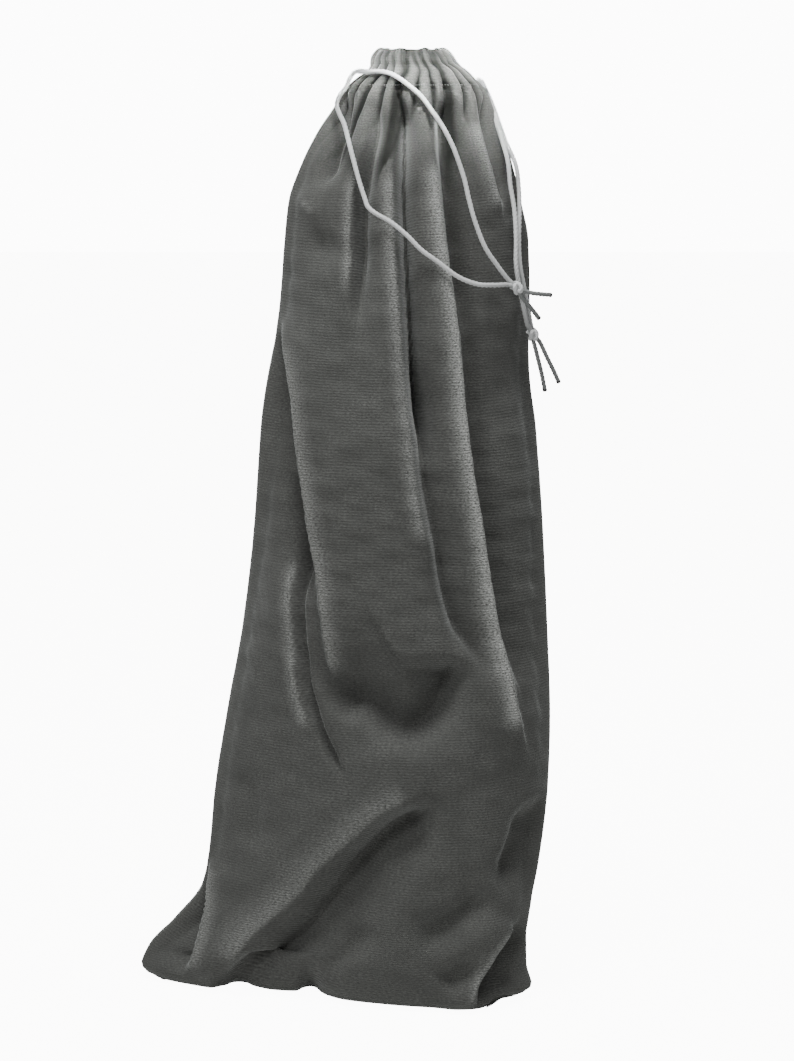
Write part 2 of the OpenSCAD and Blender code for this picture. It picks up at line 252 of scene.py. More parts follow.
@dataclass
class Sheet:
    """Vertices in millimetres and faces, gathered from grids and tubes before they are a mesh."""

    points: list[np.ndarray] = field(default_factory=list)
    quads: list[np.ndarray] = field(default_factory=list)
    triangles: list[np.ndarray] = field(default_factory=list)
    cloth: list[np.ndarray] = field(default_factory=list)
    # Each vertex's painted light and shade
    painted_light_and_shade: list[np.ndarray] = field(default_factory=list)
    count: int = 0

    def grid(
        self,
        points: np.ndarray,
        cloth: np.ndarray | None = None,
        painted_light_and_shade: np.ndarray | None = None,
        round_rows: bool = False,
        round_columns: bool = False,
        flip: bool = False,
        caps: bool = False,
    ) -> None:
        """Adds a grid of points shaped (rows, columns, 3).

        Args:
            points: the vertices.
            cloth: each vertex's place on the flat cloth, in millimetres.
            painted_light_and_shade: each vertex's painted light: on velour a highlight up to 1 and
                shade down to -1, on cords shade up to 1.
            round_rows: the last row joins the first.
            round_columns: the last column joins the first.
            flip: turn the faces round.
            caps: close the first and the last row with a fan.
        """
        rows, columns = points.shape[:2]
        faces = grid_faces(rows, columns, round_rows, round_columns)
        if flip:
            faces = faces[:, ::-1]
        flat = points.reshape(-1, 3)
        flat_cloth = np.zeros((len(flat), 2)) if cloth is None else cloth.reshape(-1, 2)
        flat_painted_light = np.zeros(len(flat)) if painted_light_and_shade is None else painted_light_and_shade.reshape(-1)
        if caps:
            ends = np.stack([points[0].mean(axis=0), points[-1].mean(axis=0)])
            j = np.arange(columns)
            j2 = (j + 1) % columns
            low = np.stack([np.full(columns, len(flat)), j2, j], axis=1)
            last = (rows - 1) * columns
            high = np.stack([np.full(columns, len(flat) + 1), last + j, last + j2], axis=1)
            fans = np.vstack([low, high])
            self.triangles.append((fans[:, ::-1] if flip else fans) + self.count)
            flat = np.vstack([flat, ends])
            flat_cloth = np.vstack([flat_cloth, flat_cloth[[0, -1]]])
            flat_painted_light = np.concatenate([flat_painted_light, flat_painted_light[[0, -1]]])
        self.quads.append(faces + self.count)
        self.points.append(flat)
        self.cloth.append(flat_cloth)
        self.painted_light_and_shade.append(flat_painted_light)
        self.count += len(flat)

    def make(self, name: str, finish: "Finish", slot: str = "") -> bpy.types.Object:
        """Turns what was gathered into an object at the origin, dressed in a finish.

        Args:
            name: the object's name.
            finish: its material.
            slot: the record's material slot, or nothing for a piece of the studio; not used.

        Returns:
            The object.
        """
        points = np.vstack(self.points) * MM
        faces = [tuple(f) for f in np.vstack(self.quads).tolist()]
        if self.triangles:
            faces += [tuple(f) for f in np.vstack(self.triangles).tolist()]
        mesh = bpy.data.meshes.new(name)
        mesh.from_pydata(points.tolist(), [], faces)
        mesh.polygons.foreach_set("use_smooth", np.ones(len(mesh.polygons), dtype=bool))
        corner = np.zeros(len(mesh.loops), dtype=np.int32)
        mesh.loops.foreach_get("vertex_index", corner)
        layer = mesh.uv_layers.new(name="cloth")
        layer.data.foreach_set("uv", (np.vstack(self.cloth) * MM)[corner].ravel())
        # Painted light and shade for each vertex, read by the velour and cord materials
        painted_light = mesh.attributes.new("painted_light_and_shade", "FLOAT", "POINT")
        painted_light.data.foreach_set("value", np.concatenate(self.painted_light_and_shade).astype(np.float32))
        mesh.materials.append(finish.material())
        mesh.update()
        made = bpy.data.objects.new(name, mesh)
        bpy.context.scene.collection.objects.link(made)
        LOG.info("%s: %d faces", name, len(faces))
        return made


def thicken(piece: bpy.types.Object, thickness: float) -> None:
    """Gives a sheet its thickness, inwards from its face.

    Args:
        piece: the sheet.
        thickness: in millimetres.
    """
    wall = piece.modifiers.new("cloth_thickness", "SOLIDIFY")
    wall.thickness = thickness * MM
    wall.offset = -1.0
    wall.use_even_offset = False


def ring_frames(line: np.ndarray) -> tuple[np.ndarray, np.ndarray, np.ndarray]:
    """Direction and two crosswise directions at each point of a line, without twisting.

    The crosswise direction is carried from ring to ring and made square to the line again.

    Args:
        line: the points.

    Returns:
        The tangents and the two crosswise unit vectors.
    """
    tangent = np.gradient(line, axis=0)
    tangent /= np.linalg.norm(tangent, axis=1)[:, None]
    across = np.zeros_like(tangent)
    start = np.cross(tangent[0], (0.3, 0.2, 1.0))
    across[0] = start / np.linalg.norm(start)
    for i in range(1, len(line)):
        a = across[i - 1] - tangent[i] * np.dot(across[i - 1], tangent[i])
        across[i] = a / np.linalg.norm(a)
    return tangent, across, np.cross(tangent, across)


def tube(line: np.ndarray, radius: np.ndarray, turn: np.ndarray, lobes: int, depth: float,
         sides: int) -> np.ndarray:
    """Rings of a twisted rope: the radius dips between its strands, which wind round the line.

    radius(angle) = r * (1 - depth + depth * |cos(lobes * (angle - turn) / 2)|^0.7).

    Args:
        line: points of the centreline.
        radius: outer radius at each point.
        turn: how far the strands have turned at each point, in radians.
        lobes: number of strands.
        depth: how deep the dips are, in parts of the radius.
        sides: vertices in a ring.

    Returns:
        Points shaped (rings, sides, 3).
    """
    _, a, b = ring_frames(line)
    angle = np.linspace(0, 2 * math.pi, sides, endpoint=False)[None, :]
    lobe = np.abs(np.cos(0.5 * lobes * (angle - turn[:, None]))) ** 0.7
    r = radius[:, None] * (1 - depth + depth * lobe)
    out = a[:, None, :] * np.cos(angle)[..., None] + b[:, None, :] * np.sin(angle)[..., None]
    return line[:, None, :] + out * r[..., None]


# ------------------------------------------------------------------ finishes


def linear(colour: str) -> tuple[float, float, float, float]:
    """An sRGB hex colour as linear red, green, blue and alpha.

    Args:
        colour: six hex digits after a #.

    Returns:
        The four values.
    """
    parts = [int(colour[i : i + 2], 16) / 255 for i in (1, 3, 5)]
    r, g, b = (v / 12.92 if v <= 0.04045 else ((v + 0.055) / 1.055) ** 2.4 for v in parts)
    return (r, g, b, 1.0)


def add_node(tree: bpy.types.NodeTree, kind: str, links: dict | None = None,
             values: dict | None = None, **settings: object) -> bpy.types.Node:
    """Adds a node with its settings, its sockets' values and the links into it.

    Args:
        tree: the material's nodes.
        kind: the node's type.
        links: output socket for each input's name or number.
        values: value for each input's name or number.
        settings: the node's own properties.

    Returns:
        The node.
    """
    node = tree.nodes.new(kind)
    for key, value in settings.items():
        setattr(node, key, value)
    for key, value in (values or {}).items():
        node.inputs[key].default_value = value
    for key, output in (links or {}).items():
        tree.links.new(output, node.inputs[key])
    return node


def empty_material(name: str) -> bpy.types.Material:
    """A material with an empty node tree.

    Args:
        name: name of the new material.

    Returns:
        The material.
    """
    made = bpy.data.materials.new(name)
    made.use_nodes = True
    made.node_tree.nodes.clear()
    return made


@dataclass(frozen=True)
class Finish:
    """A finish that makes its material once and then hands out the same one."""

    name: str

    def material(self) -> bpy.types.Material:
        """The finish's material."""
        return bpy.data.materials.get(self.name) or self.build()

    def build(self) -> bpy.types.Material:
        """Makes the material; each finish has its own way."""
        raise NotImplementedError


@dataclass(frozen=True)
class Velour(Finish):
    """Cotton velour, warp-knitted with a short cut pile: dull face on, pale where its nap is seen
    edge-on, with fine ribs across the cloth, short streaks where tufts lie over, a paler,
    speckled painted highlight along ridge crests, and painted shade deep in the gathers."""

    dark: str = "#434442"
    light: str = "#6E6F6C"
    # Colour of the painted highlight along ridge crests
    painted_light: str = "#E4E6E2"
    # Colour of the painted shade deep in the gathers
    painted_gather_shade: str = "#262725"
    rib_mm: float = 1.9
    # A tuft's streak is about 2 by 0.8 mm; real tufts are half that, too fine to show
    streak_mm: float = 2.0
    streak_tall_mm: float = 0.8
    brushed_mm: float = 30.0
    sheen: float = 0.42
    rib_strength: float = 0.3

    def build(self) -> bpy.types.Material:
        """Builds the velour.

        The ribs are a wave along the cloth's height, the streaks and the brushed patches are
        noise on the flat cloth, and together they set the colour and the bump. Where the painted
        light is above 0, along a ridge's crest, the brightest streaks turn pale as a painted
        highlight; where it is below 0, deep in a gather, the pile is dark with painted shade and
        loses its sheen.

        Returns:
            The material.
        """
        made = empty_material(self.name)
        t = made.node_tree
        uv = add_node(t, "ShaderNodeUVMap", uv_map="cloth").outputs["UV"]
        ribs = add_node(
            t, "ShaderNodeTexWave", {"Vector": uv},
            {"Scale": 0.314159 / (self.rib_mm * MM), "Distortion": 2.4, "Detail": 3.0,
             "Detail Scale": 0.8, "Detail Roughness": 0.65},
            wave_type="BANDS", bands_direction="Y", wave_profile="SIN")
        tufts = add_node(
            t, "ShaderNodeMapping", {"Vector": uv},
            {"Scale": (1.0 / (self.streak_mm * MM), 1.0 / (self.streak_tall_mm * MM), 1.0)})
        streaks = add_node(t, "ShaderNodeTexNoise", {"Vector": tufts.outputs["Vector"]},
                           {"Scale": 1.0, "Detail": 4.0, "Roughness": 0.75, "Distortion": 0.25})
        brushed = add_node(
            t, "ShaderNodeTexNoise", {"Vector": uv},
            {"Scale": 1.0 / (self.brushed_mm * MM), "Detail": 3.0, "Roughness": 0.55,
             "Distortion": 0.3})
        tuft = add_node(t, "ShaderNodeMapRange", {"Value": streaks.outputs["Fac"]},
                        {"From Min": 0.36, "From Max": 0.68})
        patch = add_node(t, "ShaderNodeMapRange", {"Value": brushed.outputs["Fac"]},
                         {"From Min": 0.3, "From Max": 0.7, "To Min": 0.55, "To Max": 1.0})
        rib = add_node(t, "ShaderNodeMapRange", {"Value": ribs.outputs["Fac"]},
                       {"To Min": 0.65, "To Max": 1.0})
        ribbed = add_node(t, "ShaderNodeMath",
                          {0: tuft.outputs["Result"], 1: rib.outputs["Result"]},
                          operation="MULTIPLY")
        nap = add_node(t, "ShaderNodeMath",
                       {0: ribbed.outputs["Value"], 1: patch.outputs["Result"]},
                       operation="MULTIPLY")
        colour = add_node(t, "ShaderNodeMix", {"Factor": nap.outputs["Value"]},
                          {6: linear(self.dark), 7: linear(self.light)}, data_type="RGBA")
        # Painted light: above 0 a painted highlight along ridge crests, below 0 painted shade deep in
        # the gathers
        painted_light_and_shade = add_node(t, "ShaderNodeAttribute", attribute_name="painted_light_and_shade")
        crest_highlight_share = add_node(t, "ShaderNodeMath", {0: painted_light_and_shade.outputs["Fac"]}, {1: 0.0},
                        operation="MAXIMUM")
        painted_highlight_mask = add_node(t, "ShaderNodeMath",
                        {0: crest_highlight_share.outputs["Value"], 1: ribbed.outputs["Value"]},
                        operation="MULTIPLY")
        # Painted shade deep in a gather: 0 there and 1 elsewhere; it darkens the colour and takes the
        # sheen away
        painted_gather_shade = add_node(t, "ShaderNodeMapRange", {"Value": painted_light_and_shade.outputs["Fac"]},
                           {"From Min": -1.0, "From Max": -0.15})
        shine = add_node(t, "ShaderNodeMath", {0: painted_gather_shade.outputs["Result"]},
                         {1: self.sheen}, operation="MULTIPLY")
        # Painted highlight: the pale colour laid over the brightest streaks along a crest
        with_painted_highlight = add_node(t, "ShaderNodeMix",
                         {"Factor": painted_highlight_mask.outputs["Value"], 6: colour.outputs[2]},
                         {7: linear(self.painted_light)}, data_type="RGBA")
        cloth = add_node(t, "ShaderNodeMix",
                         {"Factor": painted_gather_shade.outputs["Result"], 7: with_painted_highlight.outputs[2]},
                         {6: linear(self.painted_gather_shade)}, data_type="RGBA")
        pile = add_node(t, "ShaderNodeBump", {"Height": streaks.outputs["Fac"]},
                        {"Strength": 0.45, "Distance": 0.5 * MM})
        knit = add_node(t, "ShaderNodeBump",
                        {"Height": ribs.outputs["Fac"], "Normal": pile.outputs["Normal"]},
                        {"Strength": self.rib_strength, "Distance": 0.5 * MM})
        shader = add_node(
            t, "ShaderNodeBsdfPrincipled",
            {"Base Color": cloth.outputs[2], "Normal": knit.outputs["Normal"],
             "Sheen Weight": shine.outputs["Value"]},
            {"Roughness": 0.92, "Specular IOR Level": 0.15, "Sheen Roughness": 0.38,
             "Sheen Tint": (0.9, 0.93, 0.91, 1.0)})
        add_node(t, "ShaderNodeOutputMaterial", {"Surface": shader.outputs["BSDF"]})
        return made


@dataclass(frozen=True)
class Thread(Finish):
    """Spun polyester sewing thread: dull, two plies twisted, a little fuzzy."""

    colour: str = "#343634"
    bright: str = "#484A48"
    ply_mm: float = 0.7

    def build(self) -> bpy.types.Material:
        """Builds the thread: slanted dark and bright plies along the stitch.

        Returns:
            The material.
        """
        made = empty_material(self.name)
        t = made.node_tree
        place = add_node(t, "ShaderNodeTexCoord")
        plies = add_node(
            t, "ShaderNodeTexWave", {"Vector": place.outputs["Object"]},
            {"Scale": 0.314159 / (self.ply_mm * MM), "Distortion": 0.8, "Detail": 1.0},
            wave_type="BANDS", bands_direction="DIAGONAL")
        colour = add_node(t, "ShaderNodeMix", {"Factor": plies.outputs["Fac"]},
                          {6: linear(self.colour), 7: linear(self.bright)}, data_type="RGBA")
        bump = add_node(t, "ShaderNodeBump", {"Height": plies.outputs["Fac"]},
                        {"Strength": 0.4, "Distance": 0.2 * MM})
        shader = add_node(
            t, "ShaderNodeBsdfPrincipled",
            {"Base Color": colour.outputs[2], "Normal": bump.outputs["Normal"]},
            {"Roughness": 0.75, "Sheen Weight": 0.2})
        add_node(t, "ShaderNodeOutputMaterial", {"Surface": shader.outputs["BSDF"]})
        return made


@dataclass(frozen=True)
class Rope(Finish):
    """Twisted polyester cord: white, a soft gloss on its strands, fine fibres that follow the
    twist, and grey painted shade near the slits and towards the ends."""

    clean: str = "#EDEEEE"
    shade: str = "#C9CCCC"
    # Grey of the painted shade near the slits and along the tails
    painted_shade_grey: str = "#747776"
    fibre_mm: float = 0.45

    def build(self) -> bpy.types.Material:
        """Builds the cord: fibre noise on the cord's own unrolled surface, painted shade by share.

        Returns:
            The material.
        """
        made = empty_material(self.name)
        t = made.node_tree
        uv = add_node(t, "ShaderNodeUVMap", uv_map="cloth").outputs["UV"]
        turned = add_node(t, "ShaderNodeMapping", {"Vector": uv},
                          {"Rotation": (0.0, 0.0, 0.7), "Scale": (1.0, 0.3, 1.0)})
        fibres = add_node(
            t, "ShaderNodeTexNoise", {"Vector": turned.outputs["Vector"]},
            {"Scale": 1.0 / (self.fibre_mm * MM), "Detail": 3.0, "Roughness": 0.7})
        painted_light_and_shade = add_node(t, "ShaderNodeAttribute", attribute_name="painted_light_and_shade")
        white = add_node(t, "ShaderNodeMix", {"Factor": fibres.outputs["Fac"]},
                         {6: linear(self.shade), 7: linear(self.clean)}, data_type="RGBA")
        # Painted shade: the grey mixed in by share, near the slits and along the tails
        colour = add_node(t, "ShaderNodeMix",
                          {"Factor": painted_light_and_shade.outputs["Fac"], 6: white.outputs[2]},
                          {7: linear(self.painted_shade_grey)}, data_type="RGBA")
        bump = add_node(t, "ShaderNodeBump", {"Height": fibres.outputs["Fac"]},
                        {"Strength": 0.5, "Distance": 0.3 * MM})
        shader = add_node(
            t, "ShaderNodeBsdfPrincipled",
            {"Base Color": colour.outputs[2], "Normal": bump.outputs["Normal"]},
            {"Roughness": 0.55, "Sheen Weight": 0.25, "Specular IOR Level": 0.4})
        add_node(t, "ShaderNodeOutputMaterial", {"Surface": shader.outputs["BSDF"]})
        return made


@dataclass(frozen=True)
class MeltedTip(Finish):
    """Polyester melted with a flame: a hard, dark, slightly glossy bead with an uneven skin."""

    colour: str = "#2B2B2A"
    pale: str = "#4A4A48"
    lump_mm: float = 0.8

    def build(self) -> bpy.types.Material:
        """Builds the melted end: lumpy noise in colour and bump.

        Returns:
            The material.
        """
        made = empty_material(self.name)
        t = made.node_tree
        place = add_node(t, "ShaderNodeTexCoord")
        lumps = add_node(t, "ShaderNodeTexNoise", {"Vector": place.outputs["Object"]},
                         {"Scale": 1.0 / (self.lump_mm * MM), "Detail": 2.0})
        colour = add_node(t, "ShaderNodeMix", {"Factor": lumps.outputs["Fac"]},
                          {6: linear(self.colour), 7: linear(self.pale)}, data_type="RGBA")
        bump = add_node(t, "ShaderNodeBump", {"Height": lumps.outputs["Fac"]},
                        {"Strength": 0.5, "Distance": 0.3 * MM})
        shader = add_node(
            t, "ShaderNodeBsdfPrincipled",
            {"Base Color": colour.outputs[2], "Normal": bump.outputs["Normal"]},
            {"Roughness": 0.42})
        add_node(t, "ShaderNodeOutputMaterial", {"Surface": shader.outputs["BSDF"]})
        return made


@dataclass(frozen=True)
class StudioPaper(Finish):
    """Matte white backdrop paper: even and dull, with the faintest tooth."""

    colour: str = "#F4F4F3"
    tooth_mm: float = 2.0
    glow: float = 12.0

    def build(self) -> bpy.types.Material:
        """Builds the paper: nearly even white with a fine bump, lit from behind where it is
        looked at, as on a light table, without lighting the bag.

        Returns:
            The material.
        """
        made = empty_material(self.name)
        t = made.node_tree
        place = add_node(t, "ShaderNodeTexCoord")
        tooth = add_node(t, "ShaderNodeTexNoise", {"Vector": place.outputs["Object"]},
                         {"Scale": 1.0 / (self.tooth_mm * MM), "Detail": 2.0})
        bump = add_node(t, "ShaderNodeBump", {"Height": tooth.outputs["Fac"]},
                        {"Strength": 0.05, "Distance": 0.1 * MM})
        shader = add_node(t, "ShaderNodeBsdfPrincipled", {"Normal": bump.outputs["Normal"]},
                          {"Base Color": linear(self.colour), "Roughness": 0.9})
        lit = add_node(t, "ShaderNodeEmission",
                       values={"Color": linear(self.colour), "Strength": self.glow})
        both = add_node(t, "ShaderNodeAddShader",
                        {0: shader.outputs["BSDF"], 1: lit.outputs["Emission"]})
        rays = add_node(t, "ShaderNodeLightPath")
        seen = add_node(t, "ShaderNodeMixShader",
                        {0: rays.outputs["Is Camera Ray"], 1: shader.outputs["BSDF"],
                         2: both.outputs["Shader"]})
        add_node(t, "ShaderNodeOutputMaterial", {"Surface": seen.outputs["Shader"]})
        return made


VELOUR = Velour("grey_cotton_velour")
BINDING = Velour("overlocked_velour_edge", dark="#3F4240", light="#565957", sheen=0.25,
                 rib_mm=1.2)
THREAD = Thread("grey_polyester_thread")
ROPE = Rope("white_twisted_polyester_cord")
TIP = MeltedTip("melted_polyester_end")
PAPER = StudioPaper("matte_white_paper")


# ------------------------------------------------------------------ the bag's shape


@dataclass(frozen=True)
class Fold:
    """One fold of the cloth, along a line of places (x, z) seen from the front or the back.

    It stands out or goes in by its height where its line runs, and fades over its two widths,
    left and right of the line as it goes down, and near its ends. A sharpness under 2 makes
    a pointed crest, and one over 2 a rounder one.
    """

    kind: Crease
    height: float
    left: float
    right: float
    line: tuple[tuple[float, float], ...]
    sharp: float = 1.5
    fade: float = 28.0
    open_top: bool = False
    # Strength of the painted highlight along its crest, from 0 to 1
    painted_light: float = 0.0

    def lift(self, x: np.ndarray, z: np.ndarray) -> np.ndarray:
        """How far this fold moves the cloth at each place.

        height * exp(-(distance / width)^sharp), eased to nothing over the last fade
        millimetres of the line.

        Args:
            x: places across, in millimetres.
            z: heights, in millimetres.

        Returns:
            Millimetres outwards, negative for a valley.
        """
        line = through(np.array(self.line, dtype=float), 5)
        start, end = line[:-1], line[1:]
        way = end - start
        span = np.linalg.norm(way, axis=1)
        before = np.concatenate([[0.0], np.cumsum(span)])
        best = np.full(x.shape, 1e9)
        side = np.zeros(x.shape)
        along = np.zeros(x.shape)
        for (sx, sz), (wx, wz), length, gone in zip(start, way, span, before):
            t = np.clip(((x - sx) * wx + (z - sz) * wz) / (length * length), 0.0, 1.0)
            dx, dz = x - sx - t * wx, z - sz - t * wz
            distance = np.hypot(dx, dz)
            nearer = distance < best
            best = np.where(nearer, distance, best)
            side = np.where(nearer, wx * dz - wz * dx, side)
            along = np.where(nearer, gone + t * length, along)
        width = np.where(side > 0, self.right, self.left)
        ends = smoothstep((before[-1] - along) / self.fade)
        if not self.open_top:
            ends = ends * smoothstep(along / self.fade)
        return self.kind.value * self.height * np.exp(-((best / width) ** self.sharp)) * ends


R, V = Crease.RIDGE, Crease.VALLEY

FRONT_FOLDS = (
    # The deep valley that runs down from the mouth and swings right, with a painted highlight on its
    # left lip
    Fold(V, 17, 3.2, 6, ((38, 580), (40, 550), (40, 519), (42, 474), (45, 435), (47, 411),
                         (52, 380), (54, 349)), 1.3, 40, True),
    Fold(V, 11, 5, 11, ((45, 435), (47, 411), (52, 380), (54, 349), (58, 328), (63, 305),
                        (67, 280), (75, 254), (86, 238), (95, 221), (100, 205)), 1.5, 50),
    Fold(R, 3.5, 16, 4, ((32, 572), (32, 540), (33, 505), (35, 470), (38, 435), (40, 411),
                         (44, 380), (47, 349), (50, 325), (56, 300), (61, 276)), 2.0, 45,
         painted_light=0.5),
    # The second ridge: a long edge with a painted highlight that falls away steeply on its right
    Fold(R, 6, 20, 2.8, ((57, 572), (62, 534), (67, 489), (72, 459), (76, 419), (79, 387),
                         (84, 348), (88, 324), (93, 293), (99, 258), (107, 224), (114, 189),
                         (125, 158)), 2.0, 40, painted_light=1.0),
    Fold(V, 15, 6, 12, ((66, 580), (69, 550), (72, 520), (76, 489), (81, 459), (85, 425),
                        (88, 395)), 1.8, 70, True),
    Fold(V, 10, 5, 16, ((79, 450), (84, 415), (88, 384), (93, 345), (98, 318), (103, 290),
                        (109, 256), (117, 222), (124, 190)), 1.5, 60),
    Fold(R, 4, 13, 2.6, ((82, 580), (88, 566), (96, 536), (102, 515), (106, 500)), 1.8, 20,
         painted_light=0.6),
    Fold(V, 9, 2.5, 5, ((93, 580), (98, 563), (104, 535), (108, 512)), 1.4, 22, True),
    # Left of the deep valley: a shorter one with its own lip
    Fold(V, 11, 3, 7, ((19, 580), (20, 560), (17, 545), (13, 522), (12, 500), (12, 482),
                       (11, 459), (9, 430)), 1.4, 60, True),
    Fold(R, 3, 12, 3, ((13, 572), (12, 552), (7, 525), (5, 500), (5, 480), (4, 455),
                       (2, 430)), 1.9, 45, painted_light=0.35),
    # The lobe under the left shoulder
    Fold(V, 10, 4, 7, ((2, 580), (-3, 570), (-7, 556), (-11, 539), (-17, 524)), 1.4, 20, True),
    Fold(R, 3, 6, 8, ((-30, 528), (-25, 516), (-17, 512), (-9, 517)), 1.8, 14, painted_light=0.35),
    Fold(V, 3, 9, 9, ((-27, 498), (-16, 490), (-4, 492), (4, 500)), 1.9, 16),
    # The edge down the left side, with a painted highlight, and the deep-set cloth left of it
    Fold(R, 6, 2.2, 20, ((-40, 450), (-37, 428), (-33, 401), (-29, 370), (-24, 339),
                         (-20, 308), (-15, 284), (-12, 258), (-9, 225), (-5, 198)), 1.9, 30,
         painted_light=0.4),
    Fold(V, 13, 18, 3.6, ((-46, 440), (-42, 415), (-38, 385), (-34, 350), (-29, 318),
                          (-25, 292), (-20, 262)), 1.5, 35),
    Fold(V, 6, 2.6, 2.6, ((-49, 350), (-41, 338), (-35, 316), (-31, 298), (-29, 266),
                          (-28, 240), (-25, 215), (-15, 184), (-7, 168), (0, 158),
                          (4, 165)), 1.3, 20),
    Fold(R, 2.5, 14, 3, ((-42, 312), (-37, 290), (-35, 262), (-33, 235), (-30, 206),
                         (-20, 178), (-12, 164)), 1.9, 30, painted_light=0.35),
    # The sagging pouch: the cloth overhangs an arc and bulges again below it
    Fold(V, 16, 30, 8, ((72, 236), (70, 216), (62, 197), (46, 186), (32, 189), (20, 198),
                        (8, 202), (-6, 191)), 1.5, 18),
    Fold(R, 4.5, 18, 18, ((2, 172), (24, 166), (46, 160), (70, 168), (92, 182)), 2.0, 24),
    Fold(R, 3, 7, 7, ((52, 226), (60, 218), (66, 210)), 1.9, 8),
    # The diagonal step down to the lower left: high on its left, a dark hollow on its right
    Fold(R, 5, 34, 3.6, ((60, 148), (38, 140), (23, 131), (3, 111), (-17, 91), (-29, 73),
                         (-48, 54), (-64, 37), (-73, 21), (-79, 4)), 2.0, 25, painted_light=0.25),
    Fold(V, 14, 4.5, 20, ((64, 136), (42, 128), (26, 118), (8, 100), (-2, 87), (-14, 71),
                          (-26, 55), (-44, 39), (-61, 21), (-68, 2)), 1.4, 25),
    Fold(V, 5, 10, 8, ((18, 60), (6, 44), (-6, 28), (-14, 10)), 1.8, 18),
    Fold(R, 2.5, 14, 14, ((78, 120), (56, 96), (40, 70), (28, 40)), 2.0, 30),
    # The left ear lies behind the body's own edge
    Fold(R, 5, 2.6, 18, ((-86, 88), (-89, 70), (-90, 51), (-95, 32), (-104, 8)), 1.8, 12,
         painted_light=0.35),
    Fold(V, 10, 14, 3, ((-92, 84), (-95, 68), (-97, 50), (-103, 30), (-112, 6)), 1.5, 14),
    Fold(V, 4, 12, 12, ((-66, 165), (-63, 135), (-60, 108), (-60, 84)), 1.9, 28),
    # The lower right corner
    Fold(R, 6, 9, 2.6, ((115, 58), (101, 40), (88, 20), (82, 0)), 1.7, 12, painted_light=0.5),
    Fold(V, 12, 2.6, 12, ((120, 54), (107, 36), (94, 16), (88, -4)), 1.4, 12),
    Fold(R, 3.5, 9, 9, ((108, 62), (90, 50), (74, 39), (58, 30)), 1.9, 14),
    Fold(V, 6, 9, 9, ((100, 82), (82, 68), (64, 56), (46, 46)), 1.8, 18),
    Fold(V, 6, 9, 9, ((92, 34), (76, 26), (60, 16)), 1.8, 14),
    Fold(V, 8, 8, 16, ((128, 140), (120, 116), (111, 96), (98, 80)), 1.8, 22),
)
BACK_FOLDS = (
    Fold(V, 14, 4, 8, ((44, 575), (45, 550), (42, 520), (40, 470), (37, 420), (36, 370),
                       (30, 320), (26, 280)), 1.5, 60, True),
    Fold(R, 4, 12, 4, ((37, 570), (37, 530), (34, 480), (31, 430), (29, 380), (24, 330)),
         1.8, 50),
    Fold(V, 11, 5, 9, ((66, 575), (72, 545), (80, 500), (84, 450), (86, 400), (85, 350),
                       (88, 300)), 1.6, 60, True),
    Fold(R, 5, 14, 4, ((58, 570), (63, 530), (70, 480), (74, 430), (76, 380), (76, 330)),
         1.8, 50),
    Fold(V, 10, 4, 8, ((20, 575), (14, 548), (6, 510), (0, 470), (-6, 430), (-10, 390),
                       (-12, 350)), 1.5, 60, True),
    Fold(V, 7, 4, 6, ((-2, 575), (-10, 548), (-18, 520), (-22, 490)), 1.6, 30, True),
    Fold(V, 8, 6, 5, ((92, 575), (98, 550), (104, 520), (106, 490)), 1.6, 30, True),
    Fold(V, 9, 14, 10, ((26, 330), (40, 290), (52, 250), (58, 215)), 1.8, 50),
    Fold(R, 5, 8, 8, ((4, 400), (8, 350), (12, 300), (20, 250), (30, 210)), 1.8, 50),
    Fold(V, 8, 10, 12, ((-34, 340), (-26, 290), (-14, 240), (0, 200)), 1.8, 50),
    Fold(V, 14, 24, 9, ((92, 220), (72, 200), (46, 190), (24, 193), (2, 206)), 1.5, 22),
    Fold(R, 5, 16, 16, ((0, 184), (24, 172), (50, 168), (80, 180)), 2.0, 24),
    Fold(R, 6, 10, 4, ((-42, 156), (-16, 128), (10, 104), (40, 80), (66, 48), (82, 14)),
         1.6, 26),
    Fold(V, 12, 4, 12, ((-48, 142), (-22, 114), (4, 91), (33, 67), (57, 36), (70, 4)),
         1.4, 26),
    Fold(V, 8, 8, 8, ((-96, 30), (-82, 52), (-68, 84), (-62, 124)), 1.7, 20),
    Fold(R, 4, 8, 8, ((-80, 16), (-62, 44), (-48, 76)), 1.8, 20),
    Fold(V, 8, 8, 8, ((106, 14), (100, 48), (97, 84), (100, 124)), 1.7, 20),
    Fold(R, 4, 8, 8, ((102, 350), (107, 300), (110, 250), (108, 200)), 1.8, 40),
    Fold(V, 7, 6, 6, ((92, 320), (97, 280), (98, 240), (94, 205)), 1.6, 30),
)
# Gathers at the mouth: angle round the half in degrees, depth, width and the foot's height
FRONT_GATHERS = (
    (18, 5.0, 1.3, 548), (33, 6.5, 1.4, 536), (47, 8.0, 1.5, 528), (62, 6.5, 1.2, 556),
    (77, 11.0, 1.8, 515), (91, 6.0, 1.2, 560), (104, 7.5, 1.3, 556), (119, 11.0, 1.9, 515),
    (134, 6.5, 1.3, 552), (148, 8.0, 1.4, 536), (163, 5.0, 1.3, 550),
)
BACK_GATHERS = (
    (17, 5.0, 1.3, 548), (31, 7.0, 1.4, 538), (45, 6.0, 1.3, 552), (58, 9.0, 1.6, 526),
    (73, 6.5, 1.3, 552), (88, 10.0, 1.7, 520), (103, 6.5, 1.3, 554), (117, 9.0, 1.6, 528),
    (132, 6.0, 1.3, 552), (147, 7.5, 1.4, 538), (162, 5.0, 1.3, 550),
)
# Where the lower edge is lifted off the floor: x, reach to each side, height
HEM_LIFTS = ((-68, 9, 3.5), (-22, 8, 3.5), (106, 8, 2.4))
# How far back the front's lower edge is drawn under the bag at each x
TUCKS = np.array([
    (-135, 2), (-88, 2), (-77, 13), (-66, 20), (-47, 15), (-29, 18), (-20, 26), (-10, 15),
    (2, 9), (32, 5), (58, 2), (76, -4), (89, -5), (106, 9), (125, 9),
], dtype=float)


